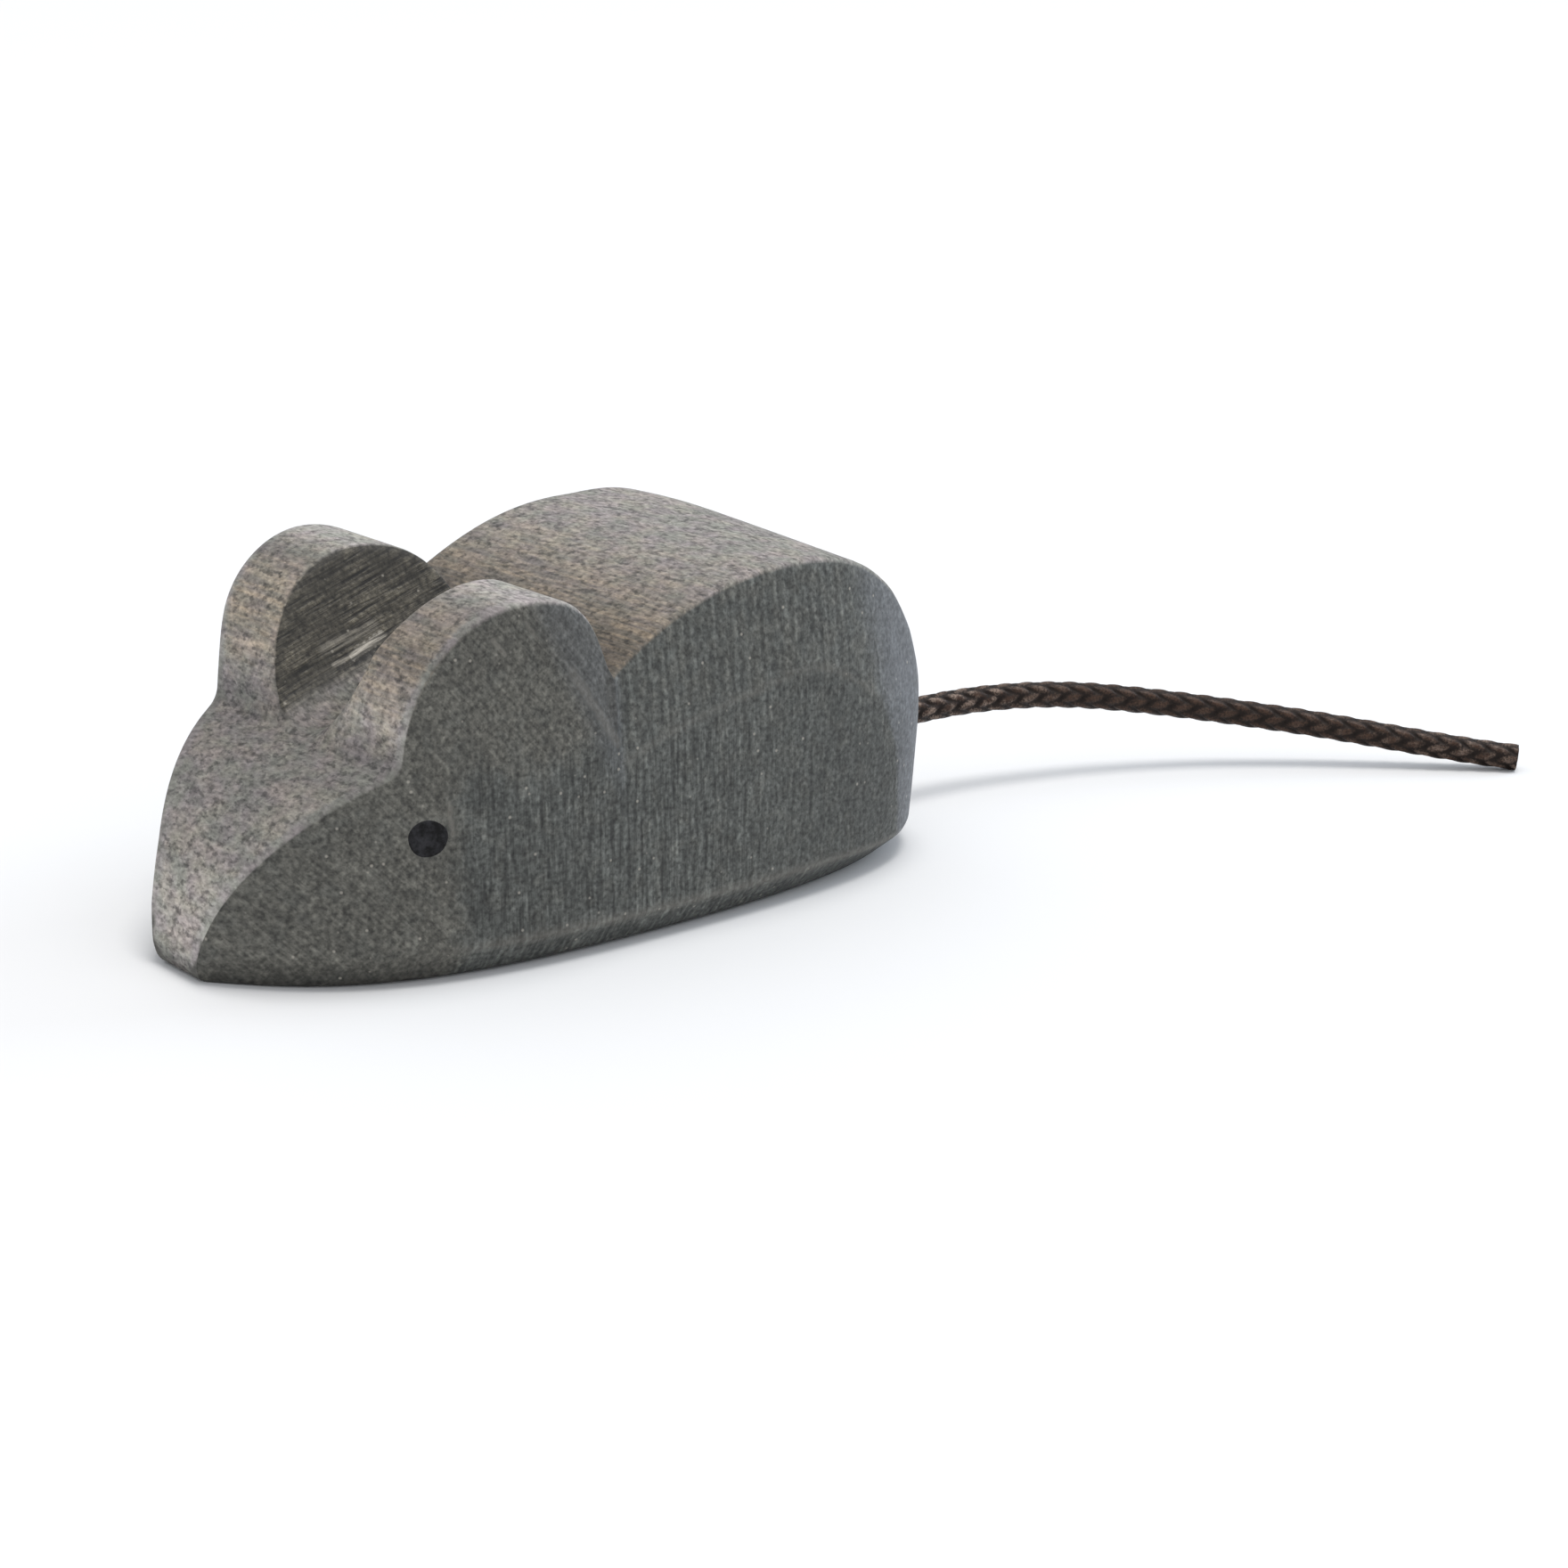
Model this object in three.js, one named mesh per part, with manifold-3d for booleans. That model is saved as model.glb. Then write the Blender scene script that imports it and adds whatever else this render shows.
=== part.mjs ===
// A small wooden mouse figure, sawn from one block, with painted eyes and a glued-in cord tail.
// Millimetres, +Z up. The mouse faces -Y and its left flank faces +X.
// Setbacks are measured backwards from the tip of the nose, heights from the surface it stands on.
import * as THREE from "three";
import { mergeVertices } from "three/addons/utils/BufferGeometryUtils.js";
import Module from "manifold-3d";

const wasm = await Module();
wasm.setup();

// Block
const bodyLength = 46.8;
const bodyWidth = 23.2;
const widestSetback = 20.8;

// Side profile, as sawn: muzzle, ears, hump and rump
const muzzleCentreDrop = 0.65;
const browSetback = 8.35;
const browHeight = 11.7;
const earHeight = 20;
const earTopSetback = 15.35;
const valleySetback = 20.5;
const valleyHeight = 15.05;
const humpHeight = 19.45;
const humpTopSetback = 33.2;
const rumpHeight = 3.5;
const rumpShoulder = 9.6;
const rumpDrop = 5.1;
const rumpTrim = 0.2;

// Crown of the hump, a low dome a little to the right of the middle
const crownRise = 0.75;
const crownWidth = 24;
const crownLength = 18;
const crownSetback = 37.2;
const crownShift = 5;

// Plan outline, as sanded: a blunt nose, full cheeks and a round rear
const noseWidth = 4.8;
const cheekReach = 3.9;
const cheekSwell = 5.6;
const headLean = 1.2;
const headForward = 1;
const flankHeight = 9;
const topHipReach = 19.3;
const topRumpWidth = 26.4;
const flankHipReach = 17.9;
const flankRumpWidth = 24;
const bevelHipReach = 16.4;
const bevelRumpWidth = 21.6;
const footHipReach = 15.6;
const footRumpWidth = 15.4;
const bottomBevelHeight = 1.8;
const bottomBevelInset = 1.3;
const noseFootInset = 0.6;
const rearFootInset = 0.8;

// Flank of the hump, sanded a little inwards above a ridge
const ridgeHeight = 12.9;
const facetTopSetback = 32.4;
const humpFacetTilt = THREE.MathUtils.degToRad(6.6);
const humpFacetFrontRadius = 233;
const humpFacetRearRadius = 22;

// Notch between the ears
const notchRadius = 3.6;
const notchHalfAngle = THREE.MathUtils.degToRad(31);
const notchSill = 0.9;

// Painted eyes
const eyeDiameter = 2;
const eyeSetback = 9.45;
const eyeHeight = 8.1;
const paintThickness = 0.3;
const paintProud = 0.05;

// Tail
const cordDiameter = 1.5;
const tailHeight = 5.5;
const boreDepth = 10;
const glueLength = 1.5;

// Clearance round a seated piece, and how far a cut runs past the wood
const seatGap = 0.2;
const overcut = 1;

// Facets
const profileSteps = 14;
const crownSteps = 10;
const planSteps = 12;
const facetSteps = 16;
const notchSteps = 12;
const eyeSides = 24;
const boreSides = 20;
const rootSides = 16;
const cordSides = 8;
const cordStepDiameters = 2;
const weldDistance = 1e-4;

// The free cord, from the rear face to its cut end on the surface: [to the left, backwards, height].
const tailRoute = [
  [0, 0.3, 5.5],
  [0, 1.8, 5.5],
  [0, 3.4, 5.5],
  [0.05, 5.2, 5.5],
  [0.15, 7, 5.5],
  [0.45, 9.2, 5.47],
  [0.95, 11.5, 5.38],
  [1.55, 13.7, 5.22],
  [2.35, 16.1, 4.93],
  [3.45, 18.7, 4.5],
  [4.8, 21.3, 4.02],
  [6.3, 23.7, 3.56],
  [8, 26, 3.12],
  [9.8, 28.2, 2.7],
  [11.7, 30.3, 2.26],
  [13.6, 32.3, 1.82],
  [15.6, 34.3, 1.4],
  [17.4, 36.1, 1.05],
  [19.1, 37.7, 0.8],
];

const halfWidth = bodyWidth / 2;
const cordRadius = cordDiameter / 2;
const boreRadius = cordRadius + seatGap;
const topLevel = earHeight + overcut;

const wood = new THREE.MeshStandardMaterial({ color: 0x5c5d57, roughness: 0.8, metalness: 0 });
const eyePaint = new THREE.MeshStandardMaterial({ color: 0x17181a, roughness: 0.6, metalness: 0 });
const waxedCord = new THREE.MeshStandardMaterial({ color: 0x3a2a20, roughness: 0.5, metalness: 0 });
const driedGlue = new THREE.MeshStandardMaterial({ color: 0xd8cfae, roughness: 0.4, metalness: 0 });

// Booleans

function solid(geometry) {
  const bare = new THREE.BufferGeometry();
  bare.setAttribute("position", geometry.getAttribute("position"));
  bare.setIndex(geometry.index);
  const merged = mergeVertices(bare, weldDistance);
  const vertProperties = new Float32Array(merged.getAttribute("position").array);
  const triVerts = new Uint32Array(merged.index.array);
  return new wasm.Manifold(new wasm.Mesh({ numProp: 3, vertProperties, triVerts }));
}

function geometryOf(manifold) {
  const mesh = manifold.getMesh();
  const geometry = new THREE.BufferGeometry();
  geometry.setAttribute("position", new THREE.BufferAttribute(mesh.vertProperties, 3));
  geometry.setIndex(new THREE.BufferAttribute(mesh.triVerts, 1));
  geometry.computeVertexNormals();
  return geometry;
}

// Side profile

// The muzzle is an arc from the bottom bevel to the brow, the front of the hump one from the valley
// that is level at the top.
const muzzleCentreHeight = -muzzleCentreDrop;
const bevelRise = bottomBevelHeight - muzzleCentreHeight;
const browRise = browHeight - muzzleCentreHeight;
const muzzleCentreSetback = (browSetback ** 2 + browRise ** 2 - bevelRise ** 2) / (2 * browSetback);
const muzzleRadius = Math.hypot(muzzleCentreSetback, bevelRise);
const browAngle = Math.atan2(browRise, browSetback - muzzleCentreSetback);
const humpRise = humpHeight - valleyHeight;
const humpRun = humpTopSetback - valleySetback;
const humpFrontRadius = (humpRun ** 2 + humpRise ** 2) / (2 * humpRise);
const humpFrontCentreHeight = humpHeight - humpFrontRadius;

// Handles of the two curves round an ear, as shares of its run and of its rise.
const earRoundness = 0.55;
const earBackRoundness = 0.8;
const earBackSlope = 0.86;

// How far the crown lifts the hump's top: a parabola across, and one squared along, so that it starts
// and ends softly.

function crownLift(across, setback) {
  const offMiddle = (across + crownShift) / (crownWidth / 2);
  const offTop = (setback - crownSetback) / (crownLength / 2);
  return crownRise * Math.max(0, 1 - offMiddle ** 2) * Math.max(0, 1 - offTop ** 2) ** 2;
}

function sideProfile() {
  const earRise = earHeight - browHeight;
  const earFall = earHeight - valleyHeight;
  const earRun = earTopSetback - browSetback;
  const earBackRun = valleySetback - earTopSetback;
  const humpFrontAngle = Math.atan2(valleyHeight - humpFrontCentreHeight, -humpRun);
  const shape = new THREE.Shape();
  shape.moveTo(muzzleCentreSetback - muzzleRadius, -overcut);
  shape.absarc(muzzleCentreSetback, muzzleCentreHeight, muzzleRadius, Math.PI, browAngle, true);
  shape.bezierCurveTo(
    browSetback,
    browHeight + earRoundness * earRise,
    earTopSetback - earRoundness * earRun,
    earHeight,
    earTopSetback,
    earHeight,
  );
  shape.bezierCurveTo(
    earTopSetback + earBackRoundness * earBackRun,
    earHeight,
    earTopSetback + earBackSlope * earBackRun,
    valleyHeight + earRoundness * earFall * earBackSlope,
    valleySetback,
    valleyHeight,
  );
  shape.absarc(
    humpTopSetback,
    humpFrontCentreHeight,
    humpFrontRadius,
    humpFrontAngle,
    Math.PI / 2,
    true,
  );
  shape.bezierCurveTo(
    humpTopSetback + rumpShoulder,
    humpHeight,
    bodyLength,
    rumpHeight + rumpDrop,
    bodyLength,
    rumpHeight,
  );
  shape.lineTo(bodyLength, -overcut);
  shape.closePath();
  const slabWidth = bodyWidth + 2 * overcut;
  const slab = new THREE.ExtrudeGeometry(shape, {
    depth: slabWidth,
    steps: crownSteps,
    bevelEnabled: false,
    curveSegments: profileSteps,
  });
  const across = new THREE.Vector3(1, 0, 0);
  const along = new THREE.Vector3(0, 1, 0);
  const upwards = new THREE.Vector3(0, 0, 1);
  slab.applyMatrix4(new THREE.Matrix4().makeBasis(along, upwards, across));
  slab.translate(-slabWidth / 2, 0, 0);
  const points = slab.getAttribute("position");
  for (let i = 0; i < points.count; i++) {
    points.setZ(i, points.getZ(i) + crownLift(points.getX(i), points.getY(i)));
  }
  return slab;
}

// Plan outline at one level: half of it as points from the nose round the left flank to the rear.

function planHalf({ front, noseHalf, half, rear, hips, rumpHalf }) {
  const shape = new THREE.Shape();
  shape.moveTo(0, front);
  shape.lineTo(noseHalf, front);
  shape.bezierCurveTo(
    noseHalf + cheekSwell,
    front + cheekReach,
    half,
    front + browSetback,
    half,
    widestSetback,
  );
  shape.bezierCurveTo(half, widestSetback + hips, rumpHalf, rear, 0, rear);
  return shape.getPoints(planSteps);
}

// The head leans inwards and forwards from the bottom bevel up to the ears.

function flankLevel(height, hips, rumpHalf) {
  const lean = THREE.MathUtils.mapLinear(height, bottomBevelHeight, earHeight, 0, 1);
  return {
    height,
    front: -lean * headForward,
    noseHalf: noseWidth / 2 - lean * headLean,
    half: halfWidth,
    rear: bodyLength + rumpTrim,
    hips,
    rumpHalf,
  };
}

const planLevels = [
  {
    height: 0,
    front: noseFootInset,
    noseHalf: noseWidth / 2,
    half: halfWidth - bottomBevelInset,
    rear: bodyLength + rumpTrim - rearFootInset,
    hips: footHipReach,
    rumpHalf: footRumpWidth / 2,
  },
  flankLevel(bottomBevelHeight, bevelHipReach, bevelRumpWidth / 2),
  flankLevel(flankHeight, flankHipReach, flankRumpWidth / 2),
  flankLevel(topLevel, topHipReach, topRumpWidth / 2),
].map((level) => ({ ...level, points: planHalf(level) }));

// A skin over the rings of points, bottom to top, with a flat lid at both ends.

function planLoft() {
  const rings = planLevels.map(({ points, height }) => {
    const rightFlank = points
      .slice(1, -1)
      .reverse()
      .map((p) => new THREE.Vector2(-p.x, p.y));
    return [...points, ...rightFlank].map((p) => [p.x, p.y, height]);
  });
  const count = rings[0].length;
  const positions = rings.flat(2);
  const faces = [];
  for (let r = 0; r + 1 < rings.length; r++) {
    for (let i = 0; i < count; i++) {
      const next = (i + 1) % count;
      const a = r * count + i;
      const b = r * count + next;
      faces.push(a, b, b + count, a, b + count, a + count);
    }
  }
  const lidCentres = [planLevels[0], planLevels.at(-1)].map(({ height }) => {
    positions.push(0, widestSetback, height);
    return positions.length / 3 - 1;
  });
  const topStart = (rings.length - 1) * count;
  for (let i = 0; i < count; i++) {
    const next = (i + 1) % count;
    faces.push(lidCentres[0], next, i, lidCentres[1], topStart + i, topStart + next);
  }
  const geometry = new THREE.BufferGeometry();
  geometry.setAttribute("position", new THREE.Float32BufferAttribute(positions, 3));
  geometry.setIndex(faces);
  return geometry;
}

// Half width of the flank at a setback and a height above the bottom bevel.

function flankAt(setback, height) {
  const widthAt = ({ points }) => {
    const i = points.findIndex((p, n) => n > 1 && p.y >= setback);
    const a = points[i - 1];
    const b = points[i];
    return THREE.MathUtils.mapLinear(setback, a.y, b.y, a.x, b.x);
  };
  const above = planLevels.findIndex((level) => level.height > height);
  const low = planLevels[above - 1];
  const high = planLevels[above];
  return THREE.MathUtils.mapLinear(height, low.height, high.height, widthAt(low), widthAt(high));
}

// Waste outside the sanded upper flank of the hump, from the ears backwards.

function humpFacetWaste(side) {
  const back = bodyLength + overcut;
  const outline = [];
  for (let i = 0; i <= facetSteps; i++) {
    const setback = THREE.MathUtils.lerp(valleySetback, back, i / facetSteps);
    const behindTop = setback - facetTopSetback;
    const planRadius = behindTop > 0 ? humpFacetRearRadius : humpFacetFrontRadius;
    const sag = planRadius - Math.sqrt(Math.max(planRadius ** 2 - behindTop ** 2, 0));
    outline.push(new THREE.Vector2(-side * sag, setback));
  }
  const outside = side * halfWidth;
  outline.push(new THREE.Vector2(outside, back), new THREE.Vector2(outside, valleySetback));
  const waste = new THREE.ExtrudeGeometry(new THREE.Shape(outline), {
    depth: 2 * topLevel,
    bevelEnabled: false,
  });
  waste.translate(0, 0, -topLevel);
  waste.rotateY(-side * humpFacetTilt);
  waste.translate(side * halfWidth, 0, ridgeHeight);
  return waste;
}

// Waste of the notch: a round-bottomed V whose floor climbs from the brow to just above the valley.

function notchWaste() {
  const floorRise = valleyHeight + notchSill - browHeight;
  const floorRun = valleySetback - browSetback;
  const climb = Math.atan2(floorRise, floorRun);
  const wallTop = earHeight;
  const wallSpread =
    notchRadius * Math.cos(notchHalfAngle) +
    (wallTop - notchRadius * (1 - Math.sin(notchHalfAngle))) * Math.tan(notchHalfAngle);
  const section = new THREE.Shape();
  section.moveTo(wallSpread, wallTop);
  section.lineTo(-wallSpread, wallTop);
  section.absarc(0, notchRadius, notchRadius, Math.PI + notchHalfAngle, -notchHalfAngle, false);
  section.closePath();
  const length = Math.hypot(floorRun, floorRise) + 2 * overcut;
  const waste = new THREE.ExtrudeGeometry(section, {
    depth: length,
    bevelEnabled: false,
    curveSegments: notchSteps,
  });
  waste.translate(0, 0, overcut - length);
  waste.rotateX(Math.PI / 2 + climb);
  waste.translate(0, browSetback, browHeight);
  return waste;
}

// A round piece whose axis runs from one point to another.

function rod(from, to, radius, sides) {
  const axis = new THREE.Vector3().subVectors(to, from);
  const geometry = new THREE.CylinderGeometry(radius, radius, axis.length(), sides);
  const turn = new THREE.Quaternion().setFromUnitVectors(
    new THREE.Vector3(0, 1, 0),
    axis.clone().normalize(),
  );
  geometry.applyQuaternion(turn);
  const middle = new THREE.Vector3().addVectors(from, to).multiplyScalar(0.5);
  geometry.translate(middle.x, middle.y, middle.z);
  return geometry;
}

// Eyes: a dot of paint in a shallow socket, square to the flank where it sits.

function eyeSeat(side) {
  const step = eyeDiameter / 4;
  const slopeBack =
    (flankAt(eyeSetback + step, eyeHeight) - flankAt(eyeSetback - step, eyeHeight)) / (2 * step);
  const slopeUp =
    (flankAt(eyeSetback, eyeHeight + step) - flankAt(eyeSetback, eyeHeight - step)) / (2 * step);
  const outwards = new THREE.Vector3(side, -slopeBack, -slopeUp).normalize();
  const centre = new THREE.Vector3(side * flankAt(eyeSetback, eyeHeight), eyeSetback, eyeHeight);
  return { at: (depth) => centre.clone().addScaledVector(outwards, -depth) };
}

function eyeDot(side) {
  const seat = eyeSeat(side);
  return rod(seat.at(paintThickness - paintProud), seat.at(-paintProud), eyeDiameter / 2, eyeSides);
}

function eyeSocket(side) {
  const seat = eyeSeat(side);
  const floor = seat.at(paintThickness - paintProud + seatGap);
  return rod(floor, seat.at(-overcut), eyeDiameter / 2 + seatGap, eyeSides);
}

// Tail: the bore, the glued end of the cord in it, and the free cord.

function tailPoint(setback) {
  return new THREE.Vector3(0, setback, tailHeight);
}

function boredRod(start, end) {
  return rod(tailPoint(start), tailPoint(end), cordRadius, rootSides);
}

const boreEnd = bodyLength - boreDepth;
const glueStart = boreEnd + seatGap;
const rootStart = glueStart + glueLength + seatGap;

function freeCord() {
  const path = new THREE.CatmullRomCurve3(
    tailRoute.map(([left, back, height]) => new THREE.Vector3(left, bodyLength + back, height)),
  );
  const section = new THREE.Shape();
  section.absarc(0, 0, cordRadius, 0, 2 * Math.PI, false);
  const stepLength = cordStepDiameters * cordDiameter;
  return new THREE.ExtrudeGeometry(section, {
    extrudePath: path,
    steps: Math.round(path.getLength() / stepLength),
    curveSegments: cordSides / 2,
  });
}

function bodyBlock() {
  let block = solid(planLoft()).intersect(solid(sideProfile()));
  for (const side of [1, -1]) {
    block = block.subtract(solid(humpFacetWaste(side)));
  }
  block = block.subtract(solid(notchWaste()));
  for (const side of [1, -1]) {
    block = block.subtract(solid(eyeSocket(side)));
  }
  const bore = rod(tailPoint(boreEnd), tailPoint(bodyLength + overcut), boreRadius, boreSides);
  return geometryOf(block.subtract(solid(bore)));
}

// Assembly, with the middle of the block over the origin

const figure = new THREE.Group();
figure.position.y = -bodyLength / 2;

function addPiece(name, geometry, material) {
  const piece = new THREE.Mesh(geometry, material);
  piece.name = name;
  figure.add(piece);
}

addPiece("body", bodyBlock(), wood);
addPiece("left_eye", eyeDot(1), eyePaint);
addPiece("right_eye", eyeDot(-1), eyePaint);
addPiece("tail_glue", boredRod(glueStart, glueStart + glueLength), driedGlue);
addPiece("tail_root", boredRod(rootStart, bodyLength), waxedCord);
addPiece("tail_cord", freeCord(), waxedCord);

const mouse = new THREE.Group();
mouse.add(figure);

export default mouse;
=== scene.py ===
# %% [markdown]
# # A small wooden mouse with a cord tail
#
# The mouse is one block of grey-stained hardwood: its side view is sawn across the block, the flanks are
# sanded, a groove is routed between the ears, two dots of black paint are the eyes, and a braided waxed
# cord is glued into the rump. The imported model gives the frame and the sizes. This lesson builds the
# surfaces that the eye sees around it, with numpy, and dresses them with procedural materials.

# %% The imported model
import math

import bpy
import numpy as np
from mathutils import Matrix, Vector


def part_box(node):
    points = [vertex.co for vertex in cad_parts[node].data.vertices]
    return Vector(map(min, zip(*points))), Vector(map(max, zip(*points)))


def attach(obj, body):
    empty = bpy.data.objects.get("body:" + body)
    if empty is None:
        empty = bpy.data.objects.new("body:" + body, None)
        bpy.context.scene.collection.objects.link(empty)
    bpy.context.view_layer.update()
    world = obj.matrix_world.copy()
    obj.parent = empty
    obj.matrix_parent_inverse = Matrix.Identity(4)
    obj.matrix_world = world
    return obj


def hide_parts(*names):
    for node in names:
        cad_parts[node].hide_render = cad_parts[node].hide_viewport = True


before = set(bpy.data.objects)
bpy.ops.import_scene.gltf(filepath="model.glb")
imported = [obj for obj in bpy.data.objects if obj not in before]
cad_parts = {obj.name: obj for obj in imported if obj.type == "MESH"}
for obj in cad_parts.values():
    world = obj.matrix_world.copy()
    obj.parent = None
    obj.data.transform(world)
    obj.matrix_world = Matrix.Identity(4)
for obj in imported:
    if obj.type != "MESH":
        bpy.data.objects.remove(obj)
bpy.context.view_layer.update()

MM = 0.001
body_low, body_high = (np.array(corner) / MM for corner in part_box("body"))
body_width, body_length, ear_height = body_high - body_low
nose_y = body_low[1]
print(f"block {body_length:.1f} x {body_width:.1f} x {ear_height:.1f} mm, nose at y = {nose_y:.1f} mm")

# %% [markdown]
# ## Camera
#
# A camera could be placed by eye, but the figure's own outline fixes it: the view is from in front of the
# left flank, 17 degrees above the table, with a long lens, so the parallel edges hardly converge.

# %% Camera
camera_place_mm = (158.53, -108.35, 64.2)
view_azimuth = math.radians(51.56)
view_elevation = math.radians(16.89)
sensor_width_mm = 36
photo_width_pixels = 1760
focal_length_pixels = 3997.6

camera_data = bpy.data.cameras.new("camera")
camera_data.sensor_width = sensor_width_mm
camera_data.lens = focal_length_pixels / photo_width_pixels * sensor_width_mm
camera = bpy.data.objects.new("camera", camera_data)
camera.location = [value * MM for value in camera_place_mm]
camera.rotation_euler = (math.pi / 2 - view_elevation, 0, view_azimuth)
bpy.context.collection.objects.link(camera)
bpy.context.scene.camera = camera
print(f"lens {camera_data.lens:.1f} mm")

# %% [markdown]
# ## One skin for every piece
#
# Block, cord and paint are all closed skins through a row of rings, so one helper turns an array of rings
# into a mesh. It closes the ends with fans, and turns the faces outwards by the sign of the volume.


# %% Skin through rings
def skin(name, rings):
    """Closed mesh through rings, an array of (ring, point on ring, xyz) in millimetres.

    Point j of a ring joins point j of the next one, each ring closes on itself, and a fan to the middle
    of the first and last ring closes the ends."""
    count, around = rings.shape[:2]
    middles = rings[[0, -1]].mean(axis=1)
    points = np.concatenate([rings.reshape(-1, 3), middles])
    number = np.arange(count * around).reshape(count, around)
    ahead = np.roll(number, -1, axis=1)
    quads = np.stack([number[:-1], ahead[:-1], ahead[1:], number[1:]], axis=-1).reshape(-1, 4)
    first, last = (np.full(around, count * around + end) for end in (0, 1))
    fans = np.concatenate([
        np.stack([ahead[0], number[0], first], axis=-1),
        np.stack([number[-1], ahead[-1], last], axis=-1),
    ])
    triangles = np.concatenate([quads[:, [0, 1, 2]], quads[:, [0, 2, 3]], fans])
    a, b, c = (points[triangles[:, corner]] for corner in range(3))
    volume = np.einsum("ij,ij->i", a, np.cross(b, c)).sum() / 6
    if volume < 0:
        quads, fans = quads[:, ::-1], fans[:, ::-1]
    mesh = bpy.data.meshes.new(name)
    mesh.from_pydata((points * MM).tolist(), [], quads.tolist() + fans.tolist())
    mesh.shade_smooth()
    piece = bpy.data.objects.new(name, mesh)
    bpy.context.collection.objects.link(piece)
    print(f"{name}: {len(points)} points, {abs(volume):.2f} cubic mm")
    return piece


def paint_points(piece, attribute, values):
    """Stores one number for each point of the piece, 0 at the two end middles, for its material to read."""
    layer = piece.data.attributes.new(attribute, "FLOAT", "POINT")
    layer.data.foreach_set("value", np.append(values.ravel(), [0, 0]).astype(np.float32))


# %% [markdown]
# ## The tail's route
#
# The tail is a stiff waxed cord: it leaves its hole straight, then bends to the left and sinks until its
# cut end rests on the table. A smooth curve through a short list of points gives that.

# %% Tail route
tail_route = np.array([
    (0, 0.3, 5.5), (0, 1.8, 5.5), (0, 3.4, 5.5), (0.05, 5.2, 5.5), (0.15, 7, 5.5), (0.45, 9.2, 5.47),
    (0.95, 11.5, 5.38), (1.55, 13.7, 5.22), (2.35, 16.1, 4.93), (3.45, 18.7, 4.5), (4.8, 21.3, 4.02),
    (6.3, 23.7, 3.56), (8, 26, 3.12), (9.8, 28.2, 2.7), (11.7, 30.3, 2.26), (13.6, 32.3, 1.82),
    (15.6, 34.3, 1.4), (17.4, 36.1, 1.05), (19.1, 37.7, 0.8),
])
tail_route[:, 1] += body_high[1]


def lengths_along(points):
    """Distance along a row of points, from the first one."""
    return np.append(0, np.cumsum(np.linalg.norm(np.diff(points, axis=0), axis=1)))


def smooth_route(points, spacing, steps=40):
    """Evenly spaced points on a Catmull-Rom curve: between two points it is the cubic whose slope at each
    point is half the step from the point before to the point after."""
    padded = np.concatenate([[2 * points[0] - points[1]], points, [2 * points[-1] - points[-2]]])
    share = np.linspace(0, 1, steps, endpoint=False)[None, :, None]
    before, start, end, after = (padded[k:len(padded) - 3 + k, None] for k in range(4))
    curve = start + 0.5 * share * (
        end - before
        + share * (2 * before - 5 * start + 4 * end - after + share * (3 * (start - end) + after - before))
    )
    curve = np.concatenate([curve.reshape(-1, 3), points[-1:]])
    along = lengths_along(curve)
    even = np.linspace(0, along[-1], int(along[-1] / spacing) + 1)
    return np.stack([np.interp(even, along, curve[:, axis]) for axis in range(3)], axis=1), even


cord_path, cord_along = smooth_route(tail_route, spacing=0.07)

# %% [markdown]
# ## The braid
#
# The cord is a hollow braid of eight strands, four that wind one way and four the other, each over one
# and under one. Eight strand curves could be swept one by one, but seen from outside the braid is one
# skin whose radius swells where a strand lies on top, so a radius formula gives it as a single tube. Pale
# glints are painted on its strands, most near the rump and a little at its end.

# %% Braid
strands_each_way = 4
braid_lead = 6.0
braid_core = 0.635
strand_swell = 0.13
strand_weave = 0.08
strand_half_width = 0.46
cord_sides = 48
glint_places, glint_shares = (9.0, 15.0, 28.0, 40.0), (0.85, 0.1, 0.0, 0.5)


def braid_radius(angle, along):
    """Radius of the braid. Each strand is a round ridge on a helix, and its half-width is a share of the step
    from one strand to the next. Where two cross, the cosine of the sum of their phases says which one is
    lifted, and the skin is the higher of the two."""
    turn = angle / (2 * np.pi)
    right, left = (strands_each_way * (turn + way * along / braid_lead) for way in (-1, 1))
    lift = np.cos(np.pi * (right + left))
    ridges = []
    for phase, sign in ((right, 1), (left, -1)):
        off_middle = np.abs(phase - np.round(phase)) / strand_half_width
        round_top = np.sqrt(np.clip(1 - off_middle ** 2, 0, 1))
        ridges.append(round_top * (strand_swell + sign * strand_weave * lift))
    return braid_core + np.maximum(ridges[0], ridges[1])


def braided_tube(name, path, along):
    """The braid carried along a path: each ring stands square to the path, with its first axis level."""
    ahead = np.gradient(path, axis=0)
    ahead /= np.linalg.norm(ahead, axis=1, keepdims=True)
    side = np.cross(ahead, (0, 0, 1))
    side /= np.linalg.norm(side, axis=1, keepdims=True)
    up = np.cross(side, ahead)
    angle = np.linspace(0, 2 * np.pi, cord_sides, endpoint=False)[None, :]
    radius = braid_radius(angle, along[:, None])
    rings = path[:, None] + radius[..., None] * (
        np.cos(angle)[..., None] * side[:, None] + np.sin(angle)[..., None] * up[:, None]
    )
    piece = skin(name, rings)
    paint_points(piece, "crown", (radius - braid_core) / (strand_swell + strand_weave))
    # How much pale painted glint the strands get along the cord
    paint_points(piece, "painted_glints", np.interp(along, glint_places, glint_shares)[:, None] + 0 * radius)
    return piece


tail = braided_tube("tail", cord_path, cord_along)
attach(tail, "root")
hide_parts("tail_cord")

# %% Cord in its hole
root_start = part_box("tail_root")[0][1] / MM
root_rings = 100
root_along = np.linspace(root_start - cord_path[0, 1], 0, root_rings)
root_path = cord_path[0] + root_along[:, None] * np.array((0, 1, 0))
tail_root = braided_tube("tail_in_hole", root_path, root_along)
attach(tail_root, "root")
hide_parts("tail_root")

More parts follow.
